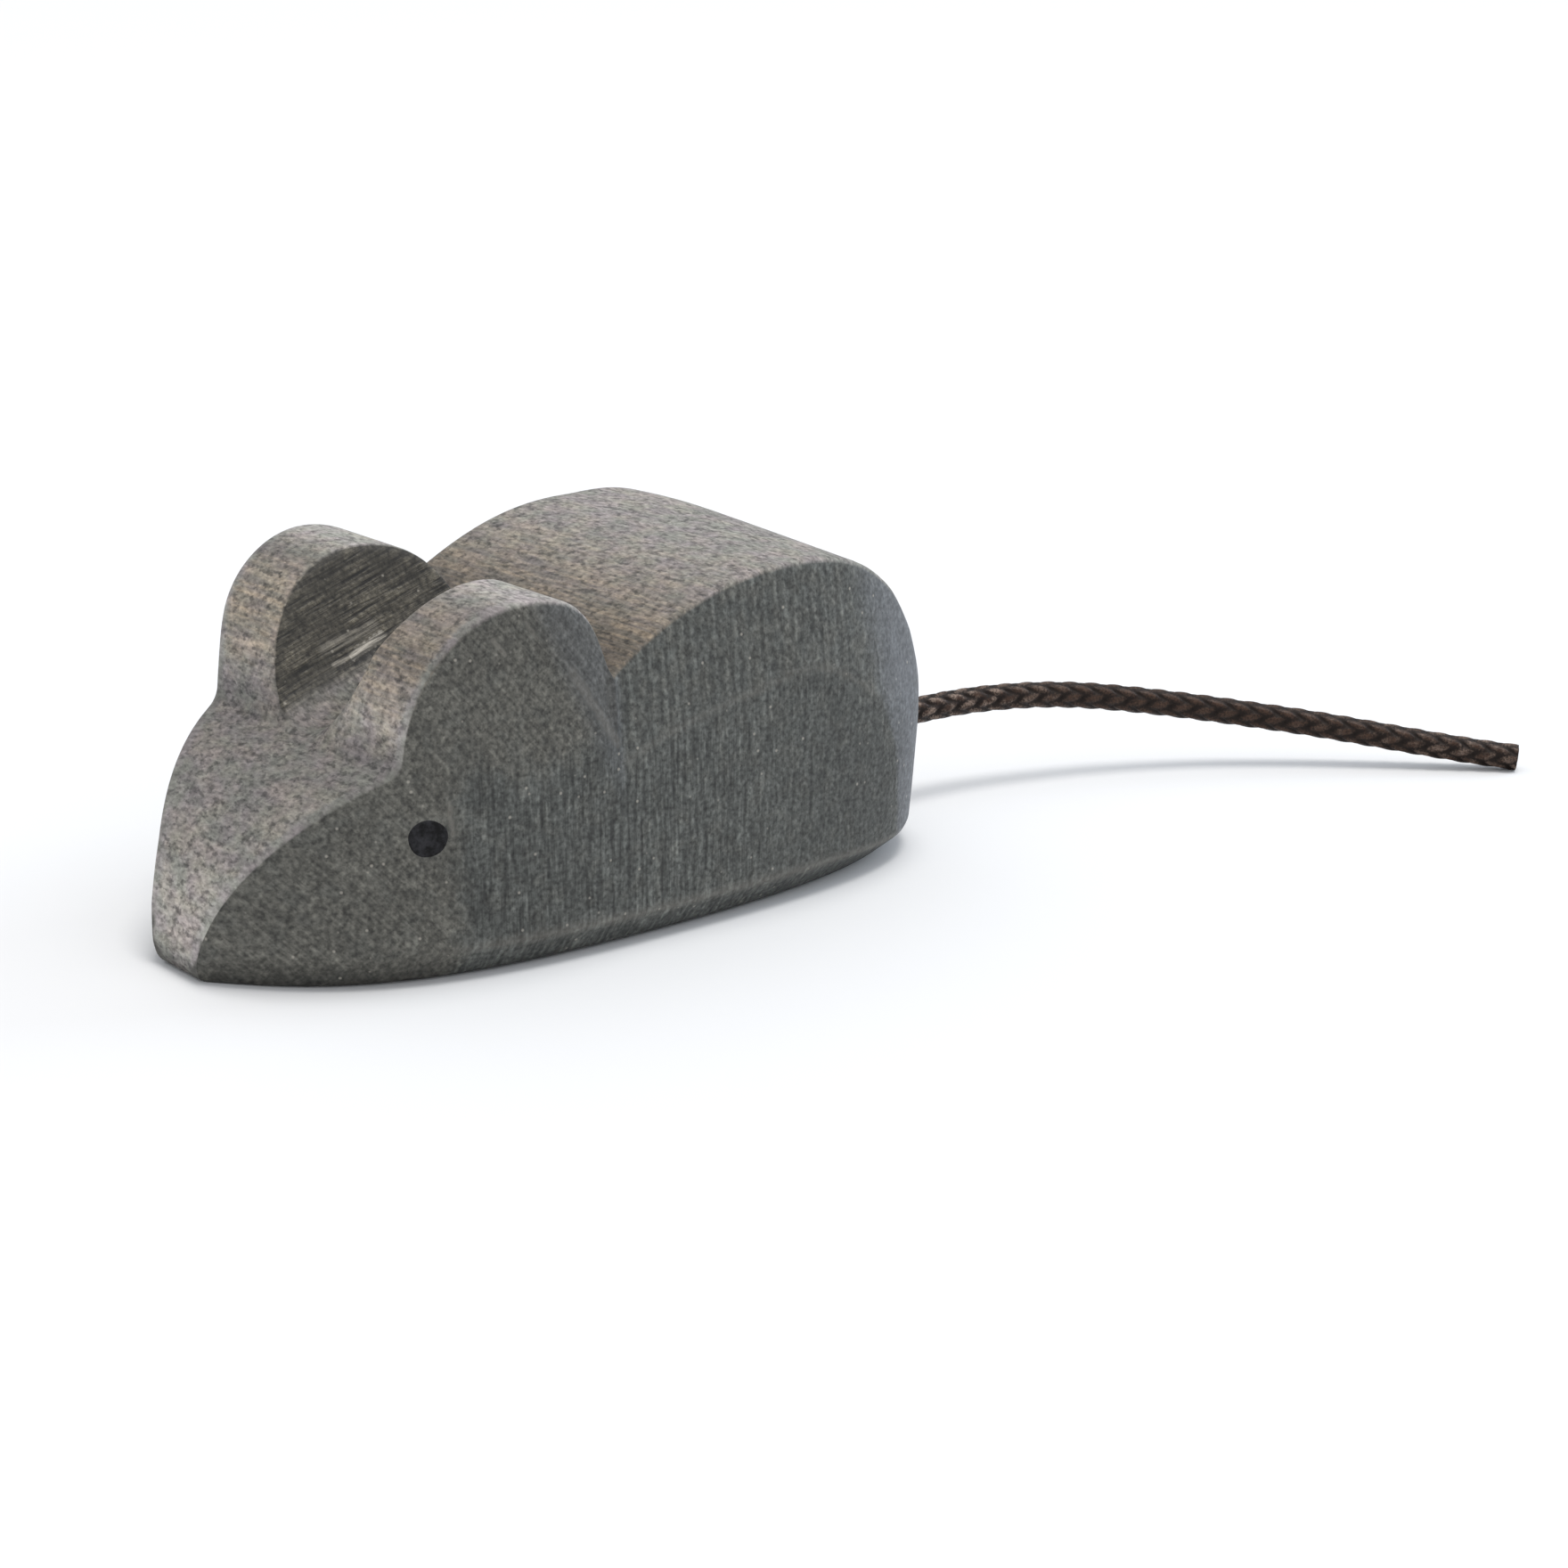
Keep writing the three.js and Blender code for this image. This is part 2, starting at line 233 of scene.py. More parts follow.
# %% [markdown]
# ## The side view
#
# The saw makes the whole upper outline in one pass: up the muzzle to the brow, up and over the ears, down
# to the valley, over the hump and down the rump. Each stretch is an arc or a cubic, as a scroll saw cuts
# it. Setbacks are measured from the nose and heights from the table.

# %% Side view
brow_setback, brow_height = 8.35, 11.7
brow_fillet, brow_pull = 0.8, 0.6
ear_top_setback = 15.35
valley_setback, valley_height = 20.5, 15.05
hump_setback, hump_height = 33.2, 19.45
rump_height = 3.5
rump_shoulder, rump_drop = 10.1, 4.9
bevel_height, bevel_inset = 1.8, 1.3
nose_foot_height, nose_foot_inset = 0.25, 0.45
nose_round_height, nose_round_depth = 1.5, 0.5
rear_foot_height, rear_foot_inset = 1.0, 0.8
muzzle_centre_height = -0.65
ear_roundness, ear_back_roundness, ear_back_slope = 0.55, 0.8, 0.86


def cubic(start, handle_a, handle_b, end, steps=200):
    """Points on a Bezier cubic from start to end."""
    t = np.linspace(0, 1, steps)[:, None]
    corners = [np.array(point, float) for point in (start, handle_a, handle_b, end)]
    weights = ((1 - t) ** 3, 3 * t * (1 - t) ** 2, 3 * t ** 2 * (1 - t), t ** 3)
    return sum(weight * corner for weight, corner in zip(weights, corners))


def arc(centre, start, end, steps=200):
    """Points on the circle about centre that runs from start to end the short way."""
    centre, start, end = (np.array(point, float) for point in (centre, start, end))
    from_angle, to_angle = (math.atan2(*(point - centre)[::-1]) for point in (start, end))
    angle = np.linspace(from_angle, to_angle, steps)
    return centre + np.hypot(*(start - centre)) * np.stack([np.cos(angle), np.sin(angle)], axis=1)


muzzle_setback = (
    brow_setback ** 2 + (brow_height - muzzle_centre_height) ** 2 - (bevel_height - muzzle_centre_height) ** 2
) / (2 * brow_setback)
muzzle_radius = math.hypot(muzzle_setback, bevel_height - muzzle_centre_height)
nose_tip = muzzle_setback - math.sqrt(muzzle_radius ** 2 - (nose_foot_height - muzzle_centre_height) ** 2)
ear_rise = ear_height - brow_height
ear_run = ear_top_setback - brow_setback
back_run = valley_setback - ear_top_setback
back_drop = ear_height - valley_height
hump_rise = hump_height - valley_height
hump_radius = ((hump_setback - valley_setback) ** 2 + hump_rise ** 2) / (2 * hump_rise)

# %% Stretches of the sawn outline
brow, ear_top = (brow_setback, brow_height), (ear_top_setback, ear_height)
valley, hump_top = (valley_setback, valley_height), (hump_setback, hump_height)
muzzle = arc((muzzle_setback, muzzle_centre_height), (nose_tip, nose_foot_height), brow)
muzzle[:, 0] += nose_round_depth * np.clip(1 - muzzle[:, 1] / nose_round_height, 0, 1) ** 2
ear_front = cubic(
    brow, (brow_setback, brow_height + ear_roundness * ear_rise),
    (ear_top_setback - ear_roundness * ear_run, ear_height), ear_top,
)
muzzle = muzzle[np.linalg.norm(muzzle - brow, axis=1) > brow_fillet]
ear_front = ear_front[np.linalg.norm(ear_front - brow, axis=1) > brow_fillet]
brow_handles = [end + brow_pull * (np.array(brow) - end) for end in (muzzle[-1], ear_front[0])]
brow_bend = cubic(muzzle[-1], *brow_handles, ear_front[0])
ear_back = cubic(
    ear_top, (ear_top_setback + ear_back_roundness * back_run, ear_height),
    (ear_top_setback + ear_back_slope * back_run, valley_height + ear_roundness * ear_back_slope * back_drop),
    valley,
)
hump_front = arc((hump_setback, hump_height - hump_radius), valley, hump_top)
rump = cubic(
    hump_top, (hump_setback + rump_shoulder, hump_height),
    (body_length, rump_height + rump_drop), (body_length, rump_height),
)
rear_foot = np.array([(body_length, rear_foot_height)])
outline = np.concatenate([
    muzzle, brow_bend[1:], ear_front[1:], ear_back[1:], hump_front[1:], rump[1:], rear_foot,
])
outline_along = lengths_along(outline)
print(f"sawn outline {outline_along[-1]:.1f} mm long")

# %% [markdown]
# ## The flanks
#
# Seen from above the block is a blunt drop: narrow at the nose, widest behind the ears, round at the rump.
# The sander also leaned the flat above the hump inwards, so a soft ridge runs along each flank, and broke
# the rear edge of the ears. All of it is one function: the half-width at a setback and a height. The near
# side is the left flank, which the camera sees, and the far side is the right one.

# %% Outline from above
half_width = body_width / 2
widest_setback = 20.8
nose_half, nose_corner_trim, rump_trim = 2.4, 0.4, 0.2
cheek_reach, cheek_swell = 3.9, 5.6
head_lean, head_forward = 1.2, 1.0
flank_height, level_top = 9.0, 21.0
# For each height, the reach of the hip's first handle and the half-width at its last one
hips = {0: (15.6, 7.7), bevel_height: (16.4, 10.8), flank_height: (17.9, 12.0), level_top: (19.3, 13.2)}
bevel_falls_from, bevel_falls_to, rear_bevel_height = 36.0, 45.0, 1.45
plan_levels = tuple(hips)


def plan_level(height):
    """Half the outline seen from above, at one height: a cubic cheek from the nose to the widest place, and
    a cubic hip from there to the rear, with its own handles. The head leans in and forwards with height."""
    on_bevel = height == 0
    lean = max(height - bevel_height, 0) / (ear_height - bevel_height)
    inset = bevel_inset if on_bevel else 0
    front = (nose_foot_inset if on_bevel else 0) - lean * head_forward
    rear = body_length + rump_trim - (rear_foot_inset if on_bevel else 0)
    corner_trim = nose_corner_trim if on_bevel else 0
    nose, wide = nose_half - corner_trim - lean * head_lean, half_width - inset
    hip_reach, rump_half = hips[height]
    cheek = cubic(
        (front, nose), (front + cheek_reach, nose + cheek_swell), (front + brow_setback, wide),
        (widest_setback, wide),
    )
    hip = cubic((widest_setback, wide), (widest_setback + hip_reach, wide), (rear, rump_half), (rear, 0))
    return np.concatenate([cheek, hip[1:]])


plan_curves = [plan_level(height) for height in plan_levels]


def bevel_top(setback):
    """Height of the bottom bevel, which gets lower round the rump."""
    return np.interp(setback, [bevel_falls_from, bevel_falls_to], [bevel_height, rear_bevel_height])


def plan_width(setback, height):
    """Half-width of the upright block: the plan levels, blended along the height."""
    levels = [np.interp(setback, curve[:, 0], curve[:, 1]) for curve in plan_curves]
    width = levels[0] + np.clip(height / bevel_top(setback), 0, 1) * (levels[1] - levels[0])
    for low, high, below, above in zip(plan_levels[1:], plan_levels[2:], levels[1:], levels[2:]):
        width = width + np.clip((height - low) / (high - low), 0, 1) * (above - below)
    return width


print(f"half-width at the widest place {plan_width(widest_setback, flank_height):.2f} mm")

# %% Sanded facets
ridge_height, facet_top_setback = 12.9, 32.4
facet_tilt = math.radians(6.6)
facet_front_radius, facet_rear_radius = 233, 22
ear_edge_setback, ear_edge_height = 16.1, 19.5
ear_edge_slope = math.radians(30.3)
ear_edge_angle = math.radians(15)
ear_edge_half = 11.5
ear_scallop_setback, ear_scallop_height, ear_scallop_bend = 15.6, 10.0, 0.063
ear_lean, ear_lean_fade = math.radians(1.5), 2.0
valley_overlap, valley_release = 0.2, 2.0
far_cheek_heights, far_cheek_trims, far_cheek_end = (1.0, 3.0, 6.0), (-0.1, -0.2, 0.22), 10.0
far_ear_swell, far_ear_low, far_ear_high = 0.75, 13.0, 18.5


def hump_facet(setback, height):
    """Half-width at the flat above the hump: it leans in from the ridge, and curves in behind the hump."""
    behind = setback - facet_top_setback
    radius = np.where(behind < 0, facet_front_radius, facet_rear_radius)
    sag = radius - np.sqrt(np.maximum(radius ** 2 - behind ** 2, 0))
    return half_width - (sag + (height - ridge_height) * math.sin(facet_tilt)) / math.cos(facet_tilt)


def above_scallop(setback, height):
    """Height above the shallow arc along which the ear's flat meets the flank."""
    arc_height = ear_scallop_height + ear_scallop_bend * (setback - ear_scallop_setback) ** 2
    return height - arc_height


def ear_edge(setback, height):
    """Half-width at the broken rear edge of the ear, a flat that leans in from the flank."""
    past_edge = (
        (setback - ear_edge_setback) * math.cos(ear_edge_slope)
        + (height - ear_edge_height) * math.sin(ear_edge_slope)
    )
    return ear_edge_half - past_edge * math.tan(ear_edge_angle)


def ramp(values, low, high):
    """A smooth step from 0 at low to 1 at high."""
    share = np.clip((values - low) / (high - low), 0, 1)
    return share ** 2 * (3 - 2 * share)


def softer_least(a, b, softness=0.12):
    """The lesser of two numbers, with the corner where they cross rounded off."""
    return 0.5 * (a + b - np.hypot(a - b, softness))


# %% Half-width
def half_width_at(setback, height, side):
    """Half-width of the block: the upright block, cut back by the ear's lean, by the facet above the hump and
    by the ear's broken edge. The facet cuts only behind the valley and the edge only before it. On the far
    side the upper cheek is sanded deeper, and the nose and the ear are fuller."""
    past_valley = setback - valley_setback
    lean = math.tan(ear_lean) * np.maximum(above_scallop(setback, height), 0)
    width = plan_width(setback, height) - lean * np.clip(-past_valley / ear_lean_fade, 0, 1)
    facet = hump_facet(setback, height) + valley_release * np.maximum(valley_overlap - past_valley, 0)
    edge = ear_edge(setback, height) + valley_release * np.maximum(valley_overlap + past_valley, 0)
    far = np.where(side < 0, 1, 0)
    trim = far * np.interp(height, far_cheek_heights, far_cheek_trims)
    trim = trim * ramp(setback, far_cheek_end, brow_setback)
    swell = far * far_ear_swell * ramp(height, far_ear_low, far_ear_high)
    swell = swell * ramp(setback, valley_setback, ear_top_setback)
    return softer_least(softer_least(width, facet), edge) - trim + swell


# %% [markdown]
# ## The groove between the ears
#
# A round-nosed cutter runs up between the ears, so the groove has a round floor, straight flaring walls
# and a steady climb. Written as height above the groove's floor line it is a function of x alone.

# %% Groove
groove_radius = 3.6
groove_half_angle = math.radians(31)
groove_turn = groove_radius * math.cos(groove_half_angle)
groove_sill = 0.9
groove_climb = math.atan2(valley_height + groove_sill - brow_height, valley_setback - brow_setback)


def groove_lift(x):
    """Height of the groove's surface above its floor line: a circle, then a wall that leaves it tangent."""
    reach = np.abs(x)
    on_floor = groove_radius - np.sqrt(groove_radius ** 2 - np.minimum(reach, groove_turn) ** 2)
    return on_floor + np.maximum(reach - groove_turn, 0) / math.tan(groove_half_angle)


def above_floor(setback, height):
    """Distance above the groove's floor line, square to it."""
    return (height - brow_height) * math.cos(groove_climb) - (setback - brow_setback) * math.sin(groove_climb)


# %% [markdown]
# ## The block
#
# A closed section is carried along the sawn outline. Each section is the cut of a plane that holds the
# x axis, a point of the outline and a point of the underside, so the planes fan out up the ear and down
# the rump and never cross. The section runs from the underside's middle over the bevel, up the flank,
# across the sawn top and down into the groove. Since every edge of the block falls on a grid line, the
# edges stay clean. A few rounds of averaging then take the sharp edges off, as a light sanding does. The
# rump, with its shoulder and its lower corner, and the foot of the near ear get more of them.

# %% Section stations
station_spacing = 0.24
groove_overrun = 1.0
groove_end = valley_setback + groove_overrun
station_along = np.linspace(0, outline_along[-1], int(outline_along[-1] / station_spacing))
top_y, top_z = (np.interp(station_along, outline_along, outline[:, axis])[:, None] for axis in (0, 1))
foot_y = np.interp(
    station_along, [0, outline_along[-1]], [nose_foot_inset, body_length - rear_foot_inset],
)[:, None]

# %% Section points
bottom_points, bevel_points, flank_points, sawn_points, groove_points = 10, 8, 62, 28, 26
groove_least_reach, groove_most_share = 2.5, 0.9
bevel_most_share = 0.75


def rows(count, last=False):
    """Even shares from 0 to 1, with or without the last one."""
    return np.linspace(0, 1, count, endpoint=last)[None, :]


def groove_mouth(top_lift, in_groove, wide):
    """Half the width of the groove where it meets the sawn top: on the cutter's circle where the cut is
    shallow, on the flaring walls where it is deep, and a least width where there is no groove."""
    turn_lift = groove_lift(groove_turn)
    arc_reach = np.sqrt(np.maximum(groove_radius ** 2 - (groove_radius - top_lift) ** 2, 0))
    wall_reach = groove_turn + (top_lift - turn_lift) * math.tan(groove_half_angle)
    mouth = np.where(top_lift < turn_lift, arc_reach, wall_reach)
    mouth = np.maximum(np.where(in_groove, mouth, 0), groove_least_reach)
    return np.minimum(mouth, groove_most_share * wide)


def half_section(side):
    """Points of one half of every section, from the underside's middle to the top's middle."""
    bevel_z = np.minimum(bevel_top(foot_y), bevel_most_share * top_z)
    flank_z = np.concatenate([
        bevel_z * rows(bevel_points), bevel_z + (top_z - bevel_z) * rows(flank_points),
    ], axis=1)
    flank_y = foot_y + (top_y - foot_y) * flank_z / top_z
    flank_x = half_width_at(flank_y, flank_z, side)
    bottom_x = flank_x[:, :1] * rows(bottom_points)
    bottom_y = foot_y + 0 * bottom_x
    wide = half_width_at(top_y, top_z, side)
    foot_lift, top_lift = above_floor(foot_y, 0 * foot_y), above_floor(top_y, top_z)
    in_groove = (top_lift > 0) & (top_y < groove_end)
    edge = groove_mouth(top_lift, in_groove, wide)
    top_x = np.concatenate([
        wide + (edge - wide) * rows(sawn_points), edge * (1 - rows(groove_points, last=True)),
    ], axis=1)
    share = np.where(in_groove, (groove_lift(top_x) - foot_lift) / (top_lift - foot_lift), 1)
    share = np.minimum(share, 1)
    x = side * np.concatenate([bottom_x, flank_x, top_x], axis=1)
    y = np.concatenate([bottom_y, flank_y, foot_y + (top_y - foot_y) * share], axis=1)
    z = np.concatenate([0 * bottom_x, flank_z, top_z * share], axis=1)
    return np.stack([x, y, z], axis=-1)


near_half, far_half = half_section(1), half_section(-1)
sections = np.concatenate([near_half, far_half[:, -2:0:-1]], axis=1)
print(f"{sections.shape[0]} sections of {sections.shape[1]} points")

# %% Crown of the hump and end faces
crown_middle_x, crown_reach, crown_softness = -6.0, 18.0, 2.5
crown_fade_power = 4
crown_swells = ((0.92, 38.2, 5.6), (0.31, 30.0, 7.5))
end_shares = np.array([0.2, 0.5, 0.75, 0.9])


def crown_lift(x, setback):
    """Low swells on the hump, each with a rise, a middle and a reach along it. The saw drifted, so they are
    highest on the far side and fall evenly to the near side, as a tent with a rounded top does."""
    across = np.clip(1 - np.hypot(x - crown_middle_x, crown_softness) / crown_reach, 0, 1)
    lift = 0
    for rise, middle, reach in crown_swells:
        lift = lift + rise * np.clip(1 - ((setback - middle) / reach) ** 2, 0, 1) ** 2
    return across * lift


def end_face(section):
    """Rings that fill the flat end inside the first or last section, from small to large."""
    middle = section.mean(axis=0)
    return middle + end_shares[:, None, None] * (section - middle)


# The flanks follow the crown less and less towards the table
crown_share = (sections[..., 2] / top_z) ** crown_fade_power
sections[..., 2] += crown_lift(sections[..., 0], sections[..., 1]) * crown_share
rings = np.concatenate([end_face(sections[0]), sections, end_face(sections[-1])[::-1]])

# %% Sanding
own_weight, neighbour_weight = 0.5, 0.125


def window(values, rise_from, rise_to, fall_from, fall_to):
    """1 between rise_to and fall_from, with a smooth step up from rise_from and one down to fall_to."""
    return ramp(values, rise_from, rise_to) * ramp(values, fall_to, fall_from)


def sand(rings, rounds, share):
    """Rounds of averaging: each point moves a share of the way to half itself and an eighth of each of its
    four neighbours."""
    for _ in range(rounds):
        beside = np.roll(rings, 1, axis=1) + np.roll(rings, -1, axis=1)
        neighbours = beside[1:-1] + rings[:-2] + rings[2:]
        softened = own_weight * rings[1:-1] + neighbour_weight * neighbours
        rings[1:-1] += share * (softened - rings[1:-1])


# %% Sanded edges, softer round the rump and at the foot of the near ear
sanding_rounds, rump_rounds, shoulder_rounds, corner_rounds, ear_foot_rounds = 3, 27, 70, 40, 100
# Two numbers say where a stretch begins and where it counts in full, and two more where it fades again
rump_setbacks, rump_heights = (41.0, 44.5), (6.5, 10.0)
shoulder_setbacks, shoulder_heights = (43.2, 44.6), (7.5, 9.5, 13.0, 15.0)
corner_setbacks, corner_heights = (42.5, 44.5), (4.0, 2.0)
ear_foot_across, ear_foot_setbacks = (0.5, 2.0, 4.5, 6.5), (7.4, 8.6, 11.0, 13.0)
ear_foot_heights = (9.0, 10.5, 14.5, 17.0)
across, setback, height = (rings[1:-1, :, axis:axis + 1] for axis in range(3))
on_rump = ramp(setback, *rump_setbacks) * ramp(height, *rump_heights)
shoulder = ramp(setback, *shoulder_setbacks) * window(height, *shoulder_heights)
rear_corner = ramp(setback, *corner_setbacks) * ramp(height, *corner_heights)
ear_foot = window(across, *ear_foot_across) * window(setback, *ear_foot_setbacks)
ear_foot = ear_foot * window(height, *ear_foot_heights)
sand(rings, sanding_rounds, 1)
sand(rings, rump_rounds, on_rump)
sand(rings, shoulder_rounds, shoulder)
sand(rings, corner_rounds, rear_corner)
sand(rings, ear_foot_rounds, ear_foot)
rings[..., 1] += nose_y
block = skin("block", rings)
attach(block, "root")
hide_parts("body")

# %% [markdown]
# ## What the tools and the stain left on the wood, and painted shade and sheen
#
# The grain runs across the mouse, from flank to flank. So the flanks are end grain, which drinks more
# stain and turns dark, and the sawn top is long grain, which stays light. The walls of the groove are end
# grain again, and the rump turns from one to the other. Since the sections' grid lines follow the edges,
# each point knows which tool made it, and a few numbers on the points tell the material. They could be
# worked out in the material, but as point attributes they also survive an export. The marks fade in and
# out along ramps, whose limits are setbacks, heights and gaps in millimetres.

# %% Which surface each point is on
half_count = near_half.shape[1]
bevel_edge = bottom_points + bevel_points
top_edge = bevel_edge + flank_points
groove_edge = top_edge + sawn_points
# A point's place on its half of the section is counted from the underside's middle
place = np.arange(rings.shape[1])
place = np.where(place < half_count, place, 2 * half_count - 2 - place)[None, :]
reach, setbacks, heights = np.abs(rings[..., 0]), rings[..., 1] - nose_y, rings[..., 2]
near_side = rings[..., 0] > 0

# %% End grain: flanks, groove walls and the corners of the nose
groove_lead = 0.3
sanded_columns, sanded_heights = 10, (17.5, 14.5)
nose_corner_slant, nose_corner_height, nose_corner_limit = 0.9, 1.6, 2.4
nose_corner_reach = (2.2, 2.6)
flank = ((place >= bottom_points) & (place < top_edge)).astype(float)
along_groove = (setbacks > brow_setback - groove_lead) & (setbacks < groove_end)
wall_start = groove_edge + near_side * (1 + sanded_columns * ramp(heights, *sanded_heights))
routed = ((place >= wall_start) & along_groove).astype(float)
lift = above_floor(setbacks, heights)
wall = routed * ramp(lift, 0.2, 0.9)
lower_reach = reach + nose_corner_slant * np.maximum(nose_corner_height - heights, 0)
nose_corner = ramp(lower_reach, *nose_corner_reach) * (heights < nose_corner_limit)
paint_points(block, "end_grain", np.maximum(np.maximum(flank, wall), nose_corner))
paint_points(block, "groove_wall", wall)
print(f"flanks hold {flank.mean():.0%} of the points, the groove's walls {wall.mean():.1%}")

# %% Painted sheen behind the ear and round the rump
band_heights, band_setbacks = (3.0, 7.0, 11.0, 17.0), (41.9, 41.2, 39.2, 37.7)
ear_shine, band_start_shine = 0.35, 0.65
ear_gap = plan_width(setbacks, heights) - ear_edge(setbacks, heights)
ear_band = ramp(ear_gap, -0.45, 0.05) * ramp(setbacks, 21.2, 20.6)
past_band = setbacks - np.interp(heights, band_heights, band_setbacks)
band_softness = np.interp(heights, (9, 13), (0.4, 1.6))
band_shine = band_start_shine + (1 - band_start_shine) * ramp(past_band, 0.4, 3.0)
band_shine = band_shine * np.interp(heights, (6, 11, 17), (1.15, 0.95, 0.7))
rump_band = ramp(past_band / band_softness, -0.5, 1) * band_shine
# A light cool grey is painted on these bands as sheen: the window light catching the turn of the rump and the
# ear's rear edge
paint_points(block, "painted_sheen", flank * np.clip(np.maximum(ear_shine * ear_band, rump_band), 0, 1))

# %% Rubbed lines and sanded rims
ridge_rub, ridge_half_width = 0.55, 0.028
bevel_line_columns = 1.2
rim_strength, rim_width = 0.8, 0.5
ridge_gap = plan_width(setbacks, heights) - hump_facet(setbacks, heights)
ridge = np.exp(-(ridge_gap / ridge_half_width) ** 2) * ramp(setbacks, 20.5, 21.5) * ramp(past_band, 0.3, -0.3)
bevel_line = np.exp(-((place - bevel_edge) / bevel_line_columns) ** 2) * ramp(setbacks, 8, 14)
paint_points(block, "rubbed", flank * np.clip(ridge_rub * ridge + bevel_line, 0, 1))
near_edge, far_edge = (reach[:, column][:, None] for column in (top_edge, -top_edge))
from_edge = np.where(near_side, near_edge, far_edge) - reach
rim = (place >= top_edge) * (1 - routed) * np.exp(-(from_edge / rim_width) ** 2) * ramp(setbacks, 22, 18)
paint_points(block, "rim", rim_strength * rim)

# %% Painted shade, and darker stain on the flank
bevel_shade, nose_bevel_shade = 0.05, 0.75
high_wall_shade, low_wall_shade = 0.7, 0.4
rump_shade, ear_edge_stain, eye_stain, ear_stain = 0.38, 0.45, 0.16, 0.18
above_arc = above_scallop(setbacks, heights)
before_valley = ramp(setbacks, 21, 20)
on_facet = ramp(ridge_gap, -0.06, 0.06) * ramp(setbacks, 20.4, 21.4)
# Painted shade: the bevel darkens where it faces the table, most at the nose, the groove's walls darken high
# up and low near the brow, and the flank darkens before the rump
bevel_shade_depth = bevel_shade + nose_bevel_shade * ramp(setbacks, 13, 7)
on_bevel = bevel_shade_depth * ramp(place, bevel_edge, bottom_points + 1)
wall_shade = np.maximum(high_wall_shade * ramp(lift, 2.2, 4.2), low_wall_shade * ramp(heights, 15.4, 13.8))
shade_before_rump = rump_shade * ramp(setbacks, 30, 39) * ramp(past_band, 0.6, -0.6) * (1 - on_facet)
# Behind the ear's edge, behind the eye and high on the ear, the flank is made darker
behind_ear = ear_edge_stain * ear_band
behind_eye = eye_stain * window(setbacks, 10.5, 13, 18, 24) * ramp(above_arc, 1.0, -1.0)
upper_ear = ear_stain * ramp(heights, 15, 18) * before_valley
on_flank = flank * np.maximum.reduce([on_bevel, shade_before_rump, behind_ear, behind_eye, upper_ear])
paint_points(block, "painted_shade_and_stain", np.maximum(on_flank, wall * wall_shade))

# %% Sawn with lines, or sanded smooth
smoother_share, ripple_share, facet_warmth = 0.5, 0.3, 0.2
on_ear = ramp(above_arc, -0.6, 2.6) * before_valley
sawn_flank = flank * ramp(setbacks, 10.0, 12.2) * (1 - on_ear)
saw_lined = sawn_flank * (1 - smoother_share * np.maximum(on_facet, ramp(setbacks, 27, 36)))
rippled = flank * np.maximum(on_facet, ripple_share * saw_lined) * ramp(past_band, 0, -2)
paint_points(block, "saw_lined", saw_lined)
paint_points(block, "rippled", rippled)
paint_points(block, "cool_stain", sawn_flank * (1 - facet_warmth * on_facet))

# %% [markdown]
# ## Stain and painted shade along the sawn top
#
# The saw cut crosses soft and hard growth rings, and they took the stain unevenly, in bands that run with
# the grain from flank to flank. A short row of places along the outline says how light the wood is there
# on the far and on the near side, and how warm, and each point of the top reads the row at its own place.
# The same row paints shade, darker at the nose's foot by the table, at the brow and in the valley.

# %% Stain bands and painted shade
# The darkest rows, at the nose's foot, at the brow and in the valley, are painted shade
stain_and_shade_bands = np.array([
    # setback, height, lightness on the far side, on the near side, warmth
    (0.3, 0.3, 0.30, 0.30, 0.00), (0.2, 0.7, 0.45, 0.45, 0.00), (0.1, 1.2, 1.00, 1.00, 0.00),
    (0.0, 1.8, 1.12, 1.12, 0.05), (0.6, 4.2, 1.12, 1.12, 0.10), (1.8, 6.4, 0.75, 0.75, 0.10),
    (5.5, 10.2, 0.53, 0.53, 0.10), (8.2, 11.7, 0.47, 0.50, 0.10), (8.6, 13.6, 0.88, 1.12, 0.25),
    (9.9, 17.0, 0.81, 0.55, 0.60), (12.7, 19.4, 0.58, 0.60, 0.30), (15.3, 20.0, 1.00, 1.04, 0.00),
    (18.0, 19.1, 1.00, 1.00, 0.10), (20.5, 15.0, 0.40, 0.40, 0.70), (22.3, 16.2, 0.39, 0.39, 0.75),
    (24.8, 17.6, 0.59, 0.59, 0.45), (28.9, 19.0, 0.75, 0.75, 0.15), (33.0, 19.5, 0.80, 0.80, 0.05),
    (41.0, 17.8, 0.80, 0.80, 0.00), (46.8, 3.5, 0.86, 0.86, 0.00),
])
band_gaps = np.linalg.norm(stain_and_shade_bands[:, None, :2] - outline[None], axis=2)
band_along = outline_along[band_gaps.argmin(axis=1)]
ring_along = np.concatenate([
    np.zeros(len(end_shares)), station_along, np.full(len(end_shares), station_along[-1]),
])
far_light, near_light, warmth = (
    np.interp(ring_along, band_along, stain_and_shade_bands[:, column])[:, None] for column in (2, 3, 4)
)
near_share = ramp(rings[..., 0], -half_width / 2, half_width / 2)
lightness_with_shade = far_light + (near_light - far_light) * near_share
print(f"{len(stain_and_shade_bands)} stain bands over {band_along[-1]:.0f} mm")

# %% Stain on the groove's floor
groove_floor_lightness, groove_floor_warmth = 0.50, 0.15
groove_fade, foot_fade = 1.2, 1.8
inside_groove = reach[:, groove_edge][:, None] - reach
floor_share = ramp(inside_groove, -foot_fade * ramp(heights, 15, 13), groove_fade)
floor_share = floor_share * (place >= top_edge) * along_groove
paint_points(block, "lightness_with_shade", lightness_with_shade + (groove_floor_lightness - lightness_with_shade) * floor_share)
paint_points(block, "warmth", warmth + (groove_floor_warmth - warmth) * floor_share)

# %% [markdown]
# ## The tail hole
#
# The hole is drilled into the finished rump, so it is cut out of the finished skin with a round cutter.

